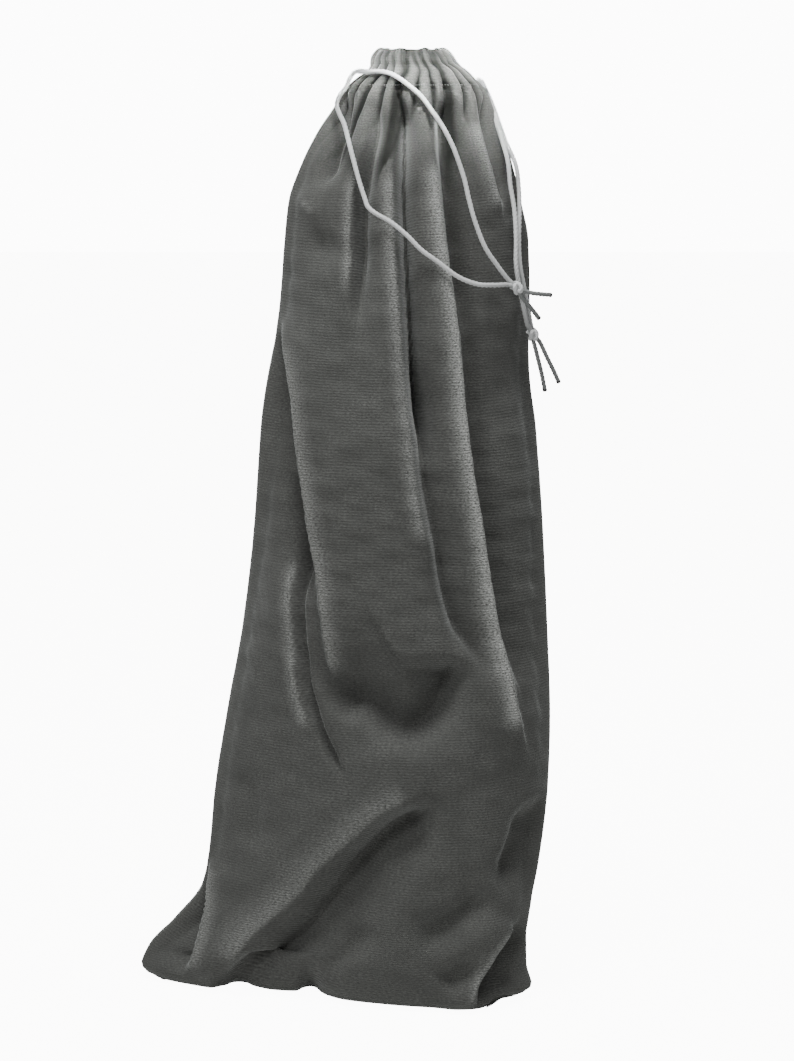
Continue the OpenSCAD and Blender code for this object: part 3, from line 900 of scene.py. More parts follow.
@dataclass(frozen=True)
class BagSurface:
    """The cloth's face at any height and angle round the bag."""

    seam_groove: float = 1.2
    # The filled lower bag bulges past the table's edges, by this much a side and to the right
    side_bulge: float = 2.9
    side_shift: float = 0.7
    corner_round: float = 4.0
    header_bulge: float = 2.2
    slack: float = 4.0
    valley_gain: float = 1.35
    ridge_gain: float = 1.0
    tunnel_limit: float = 0.5
    header_share: float = 0.62

    def station(self, z: np.ndarray) -> np.ndarray:
        """The bag's sizes at each height, smooth between the table's rows."""
        return monotone(z, STATIONS[:, 0], STATIONS[:, 1:])

    def smooth_point(self, side: Side, z: np.ndarray, phi: np.ndarray,
                     full: np.ndarray | float = 1.0, inset: np.ndarray | float = 0.0,
                     ) -> np.ndarray:
        """A place on the bag's plain shape, without folds.

        x = middle - side * half * cos(angle); y = the seam's y - side * depth * sin(angle), so
        angle 0 is the panel's own left seam, seen from outside, and 180 degrees its right one.
        The front's lower edge is then drawn back by its tucks, fading out upwards.

        Args:
            side: front or back.
            z: heights in millimetres.
            phi: angles in radians.
            full: how much of the depth counts, for the folded-in floor of the bag.
            inset: how far in from the face, in millimetres.

        Returns:
            Points with a last axis of 3.
        """
        s = self.station(z)
        mid, half = 0.5 * (s[..., 0] + s[..., 1]), 0.5 * (s[..., 1] - s[..., 0])
        spread = smoothstep((430 - z) / 60)
        mid, half = mid + self.side_shift * spread, half + self.side_bulge * spread
        k = side.value
        cos = np.cos(phi)
        width = half + self.header_bulge * smoothstep((z - 602) / 7)
        width = width - self.corner_round * (1 - smoothstep(z / 11))
        x = mid - k * (width - inset) * cos
        share = (x - s[..., 0]) / (2 * half)
        seam = s[..., 2] + (s[..., 3] - s[..., 2]) * share
        depth = s[..., 4] * (1 + s[..., 6] * (x - mid) / half) if side is Side.FRONT else s[..., 5]
        y = seam - k * (depth - inset) * np.sin(phi) * full
        if side is Side.FRONT:
            tuck = monotone(x.ravel(), TUCKS[:, 0], TUCKS[:, 1:])[:, 0].reshape(x.shape)
            bulge = np.abs(np.sin(phi))
            tuck = np.minimum(tuck * bulge**0.5, 0.7 * depth * bulge)
            y = y + tuck * (1 - smoothstep(z / 34)) * full
        return np.stack([x, y, np.broadcast_to(z, x.shape)], axis=-1)

    def outward(self, side: Side, z: np.ndarray, phi: np.ndarray) -> np.ndarray:
        """Unit vector out of the plain shape: the cross product of its two directions, kept
        level near the mouth so that the gathers of the panel and the hem meet.

        Args:
            side: front or back.
            z: heights in millimetres.
            phi: angles in radians.

        Returns:
            Unit vectors with a last axis of 3.
        """
        e = 0.01
        along = self.smooth_point(side, z, phi + e) - self.smooth_point(side, z, phi - e)
        up = self.smooth_point(side, z + 1, phi) - self.smooth_point(side, z - 1, phi)
        n = np.cross(along, up)
        n[..., 2] *= 1 - smoothstep((z - 530) / 40)
        return n / np.maximum(np.linalg.norm(n, axis=-1, keepdims=True), 1e-9)

    def gathers(self, side: Side, z: np.ndarray, phi: np.ndarray) -> np.ndarray:
        """How far the gathers at the mouth pull the cloth in.

        Each is a narrow valley at its own angle, strongest at the mouth and gone at its foot;
        the cord keeps it shallow inside the tunnel.

        Args:
            side: front or back.
            z: heights.
            phi: angles.

        Returns:
            Millimetres, negative inwards.
        """
        s = self.station(z)
        reach = 0.5 * ((s[..., 1] - s[..., 0]) * 0.5 + s[..., 4])
        table = FRONT_GATHERS if side is Side.FRONT else BACK_GATHERS
        in_tunnel = smoothstep((z - 588) / 5) * smoothstep((604 - z) / 5)
        hold = 1 - (1 - self.tunnel_limit) * in_tunnel
        hold = hold * (1 - (1 - self.header_share) * smoothstep((z - 600) / 6))
        out = np.zeros(phi.shape)
        for i, (angle, depth, width, foot) in enumerate(table):
            drift = math.radians(1.4) * np.sin(z / 9.0 + 2.1 * i)
            off = (phi - math.radians(angle) - drift) * reach
            grown = smoothstep((z - foot) / (592 - foot))
            wide = width * (1 + 1.5 * smoothstep((592 - z) / 60))
            wide = wide * (1 + 0.3 * smoothstep((z - 598) / 6))
            out = out - depth * hold * grown * np.exp(-np.abs(off / wide) ** 1.4)
        return out

    def crests(self, side: Side, z: np.ndarray, phi: np.ndarray) -> np.ndarray:
        """Painted light at each place: a painted highlight of 1 on the line of a ridge and 0 away
        from it, and painted shade down to -1 deep in a gather, where the pile is pushed together.

        Args:
            side: front or back.
            z: heights.
            phi: angles.

        Returns:
            Shares from -1 to 1.
        """
        p = self.smooth_point(side, z, phi)
        # Painted shade deep in a gather, down to -1
        painted_light = -np.clip(-self.gathers(side, z, phi) / 3.2, 0, 1) ** 0.8
        # Painted highlight along the crest of each fold that has one
        for fold in FRONT_FOLDS if side is Side.FRONT else BACK_FOLDS:
            if fold.painted_light:
                share = np.clip(fold.lift(p[..., 0], p[..., 2]) / fold.height, 0, 1)
                painted_light = np.where(share**9 * fold.painted_light > 0.02, share**9 * fold.painted_light, painted_light)
        return painted_light

    def folds(self, side: Side, z: np.ndarray, phi: np.ndarray) -> np.ndarray:
        """How far the cloth lies in or out of the plain shape at each place.

        The folds and gathers are added up, kept from standing out further than a millimetre,
        and eased off to a narrow groove at the side seams.

        Args:
            side: front or back.
            z: heights.
            phi: angles.

        Returns:
            Millimetres outwards.
        """
        p = self.smooth_point(side, z, phi)
        x = p[..., 0]
        total = np.full(phi.shape, -self.slack)
        for fold in FRONT_FOLDS if side is Side.FRONT else BACK_FOLDS:
            gain = self.valley_gain if fold.kind is Crease.VALLEY else self.ridge_gain
            total = total + gain * fold.lift(x, p[..., 2])
        seed = 11 if side is Side.FRONT else 12
        calm = 0.35 + 0.65 * smoothstep((590 - z) / 60)
        total = total + calm * (0.9 * ripple(x, z * 0.6, 46, seed) + 0.5 * ripple(x, z, 17, seed + 5))
        total = total + 0.2 * ripple(x, z, 6.5, seed + 9)
        total = np.where(total > 0, 1.2 * np.tanh(total / 1.2), total)
        total = total * (1 - smoothstep((z - 560) / 26) * 0.94)
        total = total * (0.12 + 0.88 * smoothstep((z + 2) / 26)) + self.gathers(side, z, phi)
        edge = np.minimum(phi, math.pi - phi)
        at_seam = smoothstep(edge / 0.30)
        groove = -self.seam_groove * np.exp(-((edge / 0.05) ** 2))
        return total * at_seam + groove * smoothstep((z - 8) / 20)

    def face(self, side: Side, z: np.ndarray, phi: np.ndarray, lift: np.ndarray | float = 0.0,
             ) -> np.ndarray:
        """A place on the folded cloth's outer face, or a lift above it.

        Args:
            side: front or back.
            z: heights.
            phi: angles.
            lift: millimetres out of the cloth.

        Returns:
            Points with a last axis of 3.
        """
        z, phi = np.broadcast_arrays(np.asarray(z, dtype=float), np.asarray(phi, dtype=float))
        n = self.outward(side, z, phi)
        p = self.smooth_point(side, z, phi) + n * (self.folds(side, z, phi) + lift)[..., None]
        if side is Side.FRONT:
            for x, reach, height in HEM_LIFTS:
                bump = np.exp(-(((p[..., 0] - x) / reach) ** 2)) * height
                p[..., 2] = p[..., 2] + bump * np.exp(-z / 14.0)
        p[..., 2] = np.maximum(p[..., 2], 0.3)
        return p


SURFACE = BagSurface()


# ------------------------------------------------------------------ pieces of the bag


@dataclass
class Panel:
    """One velour panel, from the casing's seam down to the floor and in to the bottom seam."""

    name: str
    side: Side
    replaced: tuple[str, ...]
    columns: int = 170
    rows: int = 232
    floor_rows: int = 14
    thickness: float = 1.5
    flat_mm: tuple[float, float] = (340, 590)
    # The folded-in floor: its height at the wall, its rise inwards, and the least height of any
    # cloth, with what the corners add to it
    floor_height: float = 1.2
    floor_rise: float = 0.9
    least_height: float = 1.4
    corner_height: float = 2.2
    # How far the top edge sinks behind the casing
    top_sink: float = 0.9

    def heights(self) -> np.ndarray:
        """Heights of the rows, closest together in the middle of the wall.

        Returns:
            Heights from the floor to the casing's seam.
        """
        t = np.linspace(0, 1, self.rows)
        eased = t + 0.06 * np.sin(2 * math.pi * t)
        return PANEL_TOP * eased

    def build(self) -> bpy.types.Object:
        """Makes the panel's grid: folded-in floor rows first, then the wall to the mouth.

        Returns:
            The panel.
        """
        phi = np.linspace(0, math.pi, self.columns)[None, :]
        z = self.heights()[:, None]
        sunk = -self.top_sink * smoothstep((z - PANEL_TOP + 4) / 4)
        wall = SURFACE.face(self.side, z + 0 * phi, phi + 0 * z, sunk + 0 * phi)
        full = (np.linspace(0.0, 1.0, self.floor_rows, endpoint=False) ** 0.8)[:, None]
        under = SURFACE.smooth_point(self.side, 0 * full + 0 * phi, phi + 0 * full, full)
        under[..., 2] = self.floor_height + self.floor_rise * (1 - full)
        under[..., 2] += wall[:1, :, 2] * full**6
        points = np.concatenate([under, wall], axis=0)
        edge = np.minimum(phi, math.pi - phi)
        least = self.least_height + self.corner_height * np.exp(-((edge / 0.18) ** 2))
        points[..., 2] = np.maximum(points[..., 2], least)
        steps = np.linalg.norm(np.diff(points, axis=0), axis=-1)
        v = np.concatenate([np.zeros((1, self.columns)), np.cumsum(steps, axis=0)], axis=0)
        v = v.mean(axis=1, keepdims=True) + 0 * v
        u = np.linspace(0, self.flat_mm[0], self.columns)[None, :] + 0 * v
        # Painted light: a painted highlight along fold crests and painted shade deep in the gathers,
        # none on the floor rows
        painted_light = np.zeros(points.shape[:2])
        painted_light[self.floor_rows :] = SURFACE.crests(self.side, z + 0 * phi, phi + 0 * z)
        made = Sheet()
        made.grid(points, np.stack([u, v], axis=-1), painted_light)
        piece = made.make(self.name, VELOUR, "velour")
        thicken(piece, self.thickness)
        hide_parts(*self.replaced)
        return piece


@dataclass
class Casing:
    """Half of the hem round the mouth: turned over, sewn down as a tunnel, with a header above."""

    name: str
    side: Side
    replaced: str
    columns: int = 220
    steps: int = 5
    thickness: float = 1.3
    flat_mm: tuple[float, float] = (320, 50)
    # Height and inset of the cloth's line from its outer foot over the top and down inside
    profile: tuple[tuple[float, float], ...] = (
        (583.2, 1.3), (585.6, 0.5), (588.4, 0.0), (594, -0.2), (598, -0.2), (601.5, 0.2),
        (604, 0.5), (607, 0.4), (610, 0.3), (612, 0.6), (612.9, 1.8), (612, 3.0),
        (609, 3.3), (605, 3.6), (602.5, 5.2), (600.5, 9.6), (597, 12.0), (593, 11.6),
        (590.6, 9.0), (589.4, 5.4), (588.0, 3.0),
    )

    def build(self) -> bpy.types.Object:
        """Carries the hem's profile round the half, with the gathers of the panel below.

        Returns:
            The casing.
        """
        line = through(np.array(self.profile), self.steps)
        z, inset = line[:, 0][:, None], line[:, 1][:, None]
        slit = math.radians(SLIT_ANGLE) * (1 - 0.7 * smoothstep((z - 600.5) / 4))
        slit = slit * (1 - 0.85 * smoothstep((588.5 - z) / 2))
        share = np.linspace(0, 1, self.columns)[None, :]
        pp = slit + (math.pi - 2 * slit) * share
        zz = z + 0 * pp
        n = SURFACE.outward(self.side, zz, pp)
        n[..., 2] = 0
        n /= np.linalg.norm(n, axis=-1, keepdims=True)
        rest = SURFACE.folds(self.side, zz, pp)
        deeper = 0.6 + 0.4 * smoothstep((6 - inset) / 4)
        points = SURFACE.smooth_point(self.side, zz, pp) + n * (rest * deeper - inset)[..., None]
        sag = 1.6 * (0.5 + 0.5 * ripple(pp * 30, 0 * pp, 12, 31)) + 0.9 * np.abs(rest) / 6
        points[..., 2] -= sag * smoothstep((zz - 600) / 12)
        v = np.concatenate([[0], np.cumsum(np.linalg.norm(np.diff(line, axis=0), axis=1))])
        cloth = np.stack([self.flat_mm[0] * (pp / math.pi), 600 + v[:, None] + 0 * pp], axis=-1)
        made = Sheet()
        # Painted light: a painted highlight along fold crests and painted shade deep in the gathers
        made.grid(points, cloth, SURFACE.crests(self.side, zz, pp))
        piece = made.make(self.name, VELOUR, "velour")
        thicken(piece, self.thickness)
        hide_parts(self.replaced)
        return piece


@dataclass
class Stitching:
    """A row of sewn stitches: each one is a short bead of thread sunk into the cloth."""

    name: str
    replaced: tuple[str, ...]
    pitch: float = 2.7
    length: float = 1.9
    radius: float = 0.42
    rings: int = 6
    sides: int = 6

    def beads(self, line: np.ndarray) -> Sheet:
        """Beads along a line of places on the cloth.

        A bead is an ellipse of revolution: its radius is that of a half circle along its length.

        Args:
            line: points on the cloth's face.

        Returns:
            The beads' faces.
        """
        dense = evenly(line, 0.5)
        gaps = np.linalg.norm(np.diff(dense, axis=0), axis=1)
        along = np.concatenate([[0.0], np.cumsum(gaps)])
        made = Sheet()
        for start in np.arange(0.4, along[-1] - self.length, self.pitch):
            at = start + self.length * np.linspace(0, 1, self.rings)
            core = np.stack([np.interp(at, along, dense[:, k]) for k in range(3)], axis=1)
            t = np.linspace(0.04, 0.96, self.rings)
            radius = self.radius * np.sqrt(4 * t * (1 - t))
            rings = tube(core, radius, np.zeros(self.rings), 2, 0.0, self.sides)
            made.grid(rings, round_columns=True, caps=True)
        return made

    def hem(self, side: Side, z: float) -> bpy.types.Object:
        """The row that closes the tunnel, round one half of the mouth.

        Args:
            side: front or back.
            z: the row's height.

        Returns:
            The stitches.
        """
        slit = math.radians(SLIT_ANGLE + 1)
        phi = np.linspace(slit, math.pi - slit, 700)
        line = SURFACE.face(side, z + 0 * phi, phi, -0.15)
        piece = self.beads(line).make(self.name, THREAD, "thread")
        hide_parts(*self.replaced)
        return piece

    def side_row(self, low: float, high: float, phi_deg: float) -> bpy.types.Object:
        """The seam's own stitches where the full bag pulls the side seam open.

        Args:
            low: the row's foot.
            high: the row's top.
            phi_deg: its angle on the front panel.

        Returns:
            The stitches.
        """
        z = np.linspace(low, high, 400)
        line = SURFACE.face(Side.FRONT, z, np.full(400, math.radians(phi_deg)), 0.05)
        piece = self.beads(line).make(self.name, THREAD, "thread")
        if self.replaced:
            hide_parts(*self.replaced)
        return piece


@dataclass
class Bartack:
    """A dense bar of zigzag thread that locks the side seam just below a slit."""

    name: str
    angles: tuple[float, float]
    turns: int = 9
    height: float = 2.2
    top: float = 587.0

    def build(self) -> bpy.types.Object:
        """One thread that swings up and down as it goes along the bar.

        Returns:
            The bartack.
        """
        t = np.linspace(0, 1, self.turns * 16)
        phi = np.radians(self.angles[0] + (self.angles[1] - self.angles[0]) * t)
        swing = 0.5 * self.height * np.sin(2 * math.pi * self.turns * t)
        line = SURFACE.face(Side.FRONT, self.top - 0.5 * self.height + swing, phi, 0.25)
        rings = tube(line, np.full(len(line), 0.33), 9 * t, 2, 0.15, 7)
        made = Sheet()
        made.grid(rings, round_columns=True, caps=True)
        piece = made.make(f"{self.name}_thread", THREAD, "thread")
        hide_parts(self.name)
        return piece


@dataclass
class BoundSeam:
    """Both raw edges of the panels trimmed and overlocked together inside the bag."""

    name: str
    allowance: float = 7.0
    thickness: float = 2.2
    loop_pitch: float = 2.4
    thread_radius: float = 0.3

    def side_line(self, end: int) -> tuple[np.ndarray, np.ndarray]:
        """Where a side seam's allowance starts and which way it stands, along the seam.

        Args:
            end: -1 for the left seam and 1 for the right one.

        Returns:
            Points on the seam, and the inward unit vectors.
        """
        z = np.linspace(24, PANEL_TOP - 22, 260)
        s = SURFACE.station(z)
        x = s[:, 0] + 2.6 if end < 0 else s[:, 1] - 2.6
        y = s[:, 2] if end < 0 else s[:, 3]
        way = np.tile([[-end, 0.0, 0.0]], (260, 1))
        way[:, 1] = 0.25 * np.sin(z / 31)
        return np.stack([x, y, z], axis=1), way / np.linalg.norm(way, axis=1)[:, None]

    def bottom_line(self) -> tuple[np.ndarray, np.ndarray]:
        """The same for the seam along the bag's floor, which stands up.

        Returns:
            Points on the seam, and the upward unit vectors.
        """
        left, right, left_y, right_y = STATIONS[0, 1:5]
        margin = 18.0
        x = left + margin + np.linspace(0, 1, 200) * (right - left - 2 * margin)
        y = left_y + (right_y - left_y) * (x - left) / (right - left)
        line = np.stack([x, y + 1.2 * np.sin(x / 17), 0 * x + 2.6], axis=1)
        way = np.stack([0 * x, 0.3 * np.sin(x / 23), 0 * x + 1], axis=1)
        return line, way / np.linalg.norm(way, axis=1)[:, None]

    def build(self, line: np.ndarray, way: np.ndarray) -> bpy.types.Object:
        """A flat strip with rounded edges, and an overlock thread that winds over its raw edge.

        The strip's cross-section is a flattened ellipse; the thread is a helix squeezed to it.

        Args:
            line: points along the seam.
            way: unit vectors the allowance stands along.

        Returns:
            The strip with its thread.
        """
        go = np.gradient(line, axis=0)
        go /= np.linalg.norm(go, axis=1)[:, None]
        side = np.cross(go, way)
        side /= np.linalg.norm(side, axis=1)[:, None]
        angle = np.linspace(0, 2 * math.pi, 14, endpoint=False)
        out = 0.5 * self.allowance * (1 - np.cos(angle))
        thick = 0.5 * self.thickness * np.sign(np.sin(angle)) * np.abs(np.sin(angle)) ** 0.5
        strip = (line[:, None] + way[:, None] * out[None, :, None]
                 + side[:, None] * thick[None, :, None])
        made = Sheet()
        u = np.cumsum(np.full(len(line), 2.2))[:, None] + 0 * out[None, :]
        v = (self.allowance * angle / math.pi)[None, :] + 0 * u
        made.grid(strip, np.stack([u, v], axis=-1), round_columns=True, caps=True)
        turns = line_length(line) / self.loop_pitch
        t = np.linspace(0, 1, int(turns * 10))
        core = np.stack([np.interp(t * (len(line) - 1), np.arange(len(line)), line[:, k])
                         for k in range(3)], axis=1)
        w = np.stack([np.interp(t * (len(line) - 1), np.arange(len(line)), way[:, k])
                      for k in range(3)], axis=1)
        s = np.stack([np.interp(t * (len(line) - 1), np.arange(len(line)), side[:, k])
                      for k in range(3)], axis=1)
        wind = 2 * math.pi * turns * t
        reach = self.allowance - 2.4 + 2.6 * np.cos(wind)
        path = core + w * reach[:, None] + s * (0.62 * self.thickness * np.sin(wind))[:, None]
        made.grid(tube(path, np.full(len(path), self.thread_radius), 0 * t, 2, 0.0, 5),
                  round_columns=True, caps=True)
        piece = made.make(f"overlocked_{self.name}", BINDING, "seam_binding")
        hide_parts(self.name)
        return piece


# ------------------------------------------------------------------ drawcords


@dataclass(frozen=True)
class CordRoute:
    """One loose half of a drawcord: out of the slit, through its knot, to its sealed end."""

    name: str
    points: tuple[tuple[float, float, float], ...]
    length_mm: float
    # Share of painted shade at each share of the length
    painted_shade_share: tuple[tuple[float, float], ...]
    replaced: tuple[str, ...]


LEFT_UPPER = CordRoute(
    "left_cord_upper_strand",
    (
        (16.9, -1.8, 597.6), (13, -3.5, 597.6), (12, -8, 597.6), (16, -13, 597.6),
        (24, -18, 598), (31, -21, 597), (37, -24, 594), (44, -27, 589), (51, -29.5, 583),
        (57, -31.5, 575), (64, -34, 565), (70, -37, 554), (74, -39, 544), (78, -41, 532),
        (81, -43, 519), (85, -45, 505), (91, -45, 490), (99, -42, 478), (106, -40, 469),
        (109.5, -39.8, 466.4), (112.6, -38.9, 463.6), (115.4, -37.8, 462),
        (117.4, -37, 461.2), (122, -35, 460), (128, -31, 459), (133, -26.8, 458.2),
    ),
    223.0, ((0, 0.6), (0.12, 0.5), (0.22, 0.05), (0.8, 0.1), (0.86, 0.6), (0.9, 0.9), (1, 0.95)),
    ("left_cord_upper_strand", "left_cord_side_tail"),
)
LEFT_LOWER = CordRoute(
    "left_cord_lower_strand",
    (
        (16.9, 1.8, 597.6), (13, 1, 598), (9, -2, 597), (6, -6, 593), (4, -11, 588),
        (0, -13, 583), (-2, -13, 577), (0, -18, 571), (3, -25, 565), (7, -33, 550),
        (12, -41, 532), (16, -45, 520), (18, -47, 515), (23, -49, 511), (32, -51, 506),
        (42, -53, 498), (51, -54, 489), (62, -54, 481), (74, -52, 472), (86, -48, 467),
        (96, -44, 466), (105, -41, 466), (109, -41, 465), (112.4, -39.4, 461.6),
        (115, -37, 457.5), (119, -34.5, 452.5), (123, -32, 447.5), (125.6, -30.3, 444),
    ),
    250.0, ((0, 0.6), (0.2, 0.45), (0.26, 0.05), (0.8, 0.1), (0.87, 0.6), (0.92, 0.95), (1, 1)),
    ("left_cord_lower_strand", "left_cord_down_tail"),
)
RIGHT_INNER = CordRoute(
    "right_cord_inner_strand",
    (
        (86.8, -1.8, 592.6), (89.5, -1.5, 591.5), (91.5, -0.5, 587), (94.5, 0, 580),
        (98.5, -2, 568), (102.5, -8, 555), (106, -18, 542), (107.5, -22, 527), (110, -25, 512),
        (111, -30, 495), (111, -32, 479), (113, -31, 465), (116, -28, 451),
        (118.5, -24, 440), (120.4, -21.6, 436), (122, -19.6, 431), (124, -17.5, 424.5),
        (126.5, -16, 415), (129, -14.5, 405), (130.8, -13.6, 396),
    ),
    213.0, ((0, 0.55), (0.14, 0.5), (0.24, 0.05), (0.66, 0.1), (0.75, 0.4), (0.84, 0.95), (1, 1)),
    ("right_cord_inner_strand", "right_cord_inner_tail"),
)
RIGHT_OUTER = CordRoute(
    "right_cord_outer_strand",
    (
        (86.8, 1.8, 592.6), (89.5, 2.5, 591.5), (92, 4, 587), (95.5, 5, 580), (100, 4, 568),
        (105, -1, 554), (111, -12, 540), (113, -15, 527), (113.5, -19, 512),
        (113, -25, 495), (113.5, -28, 479), (116, -27, 465), (119, -24, 451),
        (121, -21, 440), (122.4, -19.6, 435), (124.6, -17.8, 430.4), (127.5, -15.5, 426.5),
        (132, -13.5, 417), (136.5, -12, 408), (139.6, -11.1, 401),
    ),
    213.0, ((0, 0.55), (0.16, 0.5), (0.3, 0.05), (0.66, 0.1), (0.75, 0.4), (0.84, 0.95), (1, 1)),
    ("right_cord_outer_strand", "right_cord_outer_tail"),
)
LEFT_KNOT_AXIS = ((107, -41, 468), (115.5, -38, 459.5))
RIGHT_KNOT_AXIS = ((119.5, -22, 439), (125.3, -17.2, 425.5))


@dataclass
class Drawcords:
    """Both drawcords: their runs in the casing, loose strands, knots and sealed ends."""

    diameter: float = CORD_D
    strands: int = 3
    twist_mm: float = 8.4
    dip: float = 0.26
    sides: int = 18
    step: float = 0.55
    knot_reach: float = 2.7
    knot_half: float = 2.6
    run_inset: float = 8.2
    tip_length: float = 3.0

    def twisted(self, line: np.ndarray, painted_light_and_shade: np.ndarray, made: Sheet,
                radius: float | None = None) -> None:
        """Adds a length of twisted cord along a line.

        Args:
            line: the centreline.
            painted_light_and_shade: share of painted shade at each point.
            made: the mesh it goes into.
            radius: the cord's own, unless the knot squeezes it.
        """
        r = 0.5 * self.diameter if radius is None else radius
        gaps = np.linalg.norm(np.diff(line, axis=0), axis=1)
        along = np.concatenate([[0.0], np.cumsum(gaps)])
        rings = tube(line, np.full(len(line), r), 2 * math.pi * along / self.twist_mm,
                     self.strands, self.dip, self.sides)
        angle = np.linspace(0, 2 * math.pi * r, self.sides, endpoint=False)[None, :]
        cloth = np.stack([angle + 0 * along[:, None], along[:, None] + 0 * angle], axis=-1)
        made.grid(rings, cloth, painted_light_and_shade[:, None] + 0 * angle, round_columns=True, caps=True)

    def strand(self, route: CordRoute, pieces: list[bpy.types.Object], loop: str,
               ) -> bpy.types.Object:
        """A loose strand from its slit through the knot to its end.

        Args:
            route: where it goes.
            pieces: the knot and the ends on it; not used.
            loop: the body it rides on.

        Returns:
            The strand.
        """
        line = evenly(through(np.array(route.points), 10), self.step)
        share = np.linspace(0, 1, len(line))
        # Painted shade along the strand: heavy near its slit and along its tail, light between
        stops = np.array(route.painted_shade_share)
        painted_light_and_shade = np.interp(share, stops[:, 0], stops[:, 1]) + 0.04 * np.sin(share * 41)
        made = Sheet()
        self.twisted(line, np.clip(painted_light_and_shade, 0, 1), made)
        piece = made.make(f"twisted_{route.name}", ROPE, "drawcord")
        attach(piece, loop)
        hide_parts(*route.replaced)
        LOG.info("%s is %.1f mm long", route.name, line_length(line))
        return piece

    def knot(self, name: str, axis: tuple[tuple[float, float, float], ...], loop: str,
             ) -> bpy.types.Object:
        """An overhand knot: the cord's line is a trefoil, pulled out along the knot's axis.

        radius = 2 + cos 3a, angle 2a round the axis, height sin 3a along it.

        Args:
            name: the CAD node it stands for.
            axis: the knot's two ends.
            loop: the body it rides on.

        Returns:
            The knot.
        """
        a, b = (np.array(p, dtype=float) for p in axis)
        middle, up = 0.5 * (a + b), (b - a) / np.linalg.norm(b - a)
        across = np.cross(up, (0.2, 1.0, 0.1))
        across /= np.linalg.norm(across)
        other = np.cross(up, across)
        t = np.linspace(0, 2 * math.pi, 150, endpoint=False)
        reach = self.knot_reach * (2 + np.cos(3 * t)) / 3
        line = (middle + across * (reach * np.cos(2 * t))[:, None]
                + other * (reach * np.sin(2 * t))[:, None]
                + up * (self.knot_half * np.sin(3 * t))[:, None])
        line = np.vstack([line, line[:1]])
        made = Sheet()
        # The whole knot takes 0.12 of the grey painted shade
        self.twisted(line, np.full(len(line), 0.12), made, 1.42)
        piece = made.make(f"tied_{name}", ROPE, "drawcord")
        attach(piece, loop)
        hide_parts(name)
        return piece

    def tips(self, name: str, routes: tuple[CordRoute, CordRoute], loop: str,
             ) -> bpy.types.Object:
        """The melted ends: blunt beads with a bulge, one on each tail.

        Args:
            name: the CAD node they stand for.
            routes: the two strands.
            loop: the body they ride on.

        Returns:
            The two ends as one piece.
        """
        made = Sheet()
        t = np.linspace(0, 1, 12)
        for route in routes:
            p = np.array(route.points[-2:], dtype=float)
            way = (p[1] - p[0]) / np.linalg.norm(p[1] - p[0])
            line = p[1] + way * (t * (self.tip_length - 0.8) - 1.0)[:, None]
            radius = 1.56 * np.sqrt(np.clip(1 - (2.0 * t - 0.85) ** 4 * 0.6, 0.05, 1))
            radius[-1] = 0.5
            made.grid(tube(line, radius, 2 * t, 3, 0.08, 14), round_columns=True, caps=True)
        piece = made.make(f"melted_{name}", TIP, "sealed_tip")
        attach(piece, loop)
        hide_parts(name)
        return piece

    def run(self, name: str, side: Side, z: float, exit_x: float) -> bpy.types.Object:
        """A drawcord's half inside the casing: it crosses the far slit and turns out of its own.

        Args:
            name: the CAD node it stands for.
            side: front or back half.
            z: its height.
            exit_x: x of its slit.

        Returns:
            The run.
        """
        left = exit_x < 50
        degrees = np.array([1, 12, 30, 50, 70, 90, 110, 130, 148, 158, 164], dtype=float)
        if not left:
            degrees = 180 - degrees
        phi = np.radians(180 - degrees if side is Side.FRONT else degrees)
        inset = self.run_inset * np.clip(np.minimum(degrees, 180 - degrees) / 30, 0.6, 1)
        ring = SURFACE.smooth_point(side, np.full(len(phi), z), phi, 1.0, inset)
        inward = 1 if left else -1
        out = np.array([[exit_x + inward * 3, -side.value * 2.35, z],
                        [exit_x + inward * 0.4, -side.value * 1.8, z]])
        line = evenly(through(np.vstack([ring, out]), 10), 0.8)
        made = Sheet()
        # The run takes 0.05 of the grey painted shade
        self.twisted(line, np.full(len(line), 0.05), made)
        piece = made.make(f"twisted_{name}", ROPE, "drawcord")
        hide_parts(name)
        return piece


# ------------------------------------------------------------------ studio


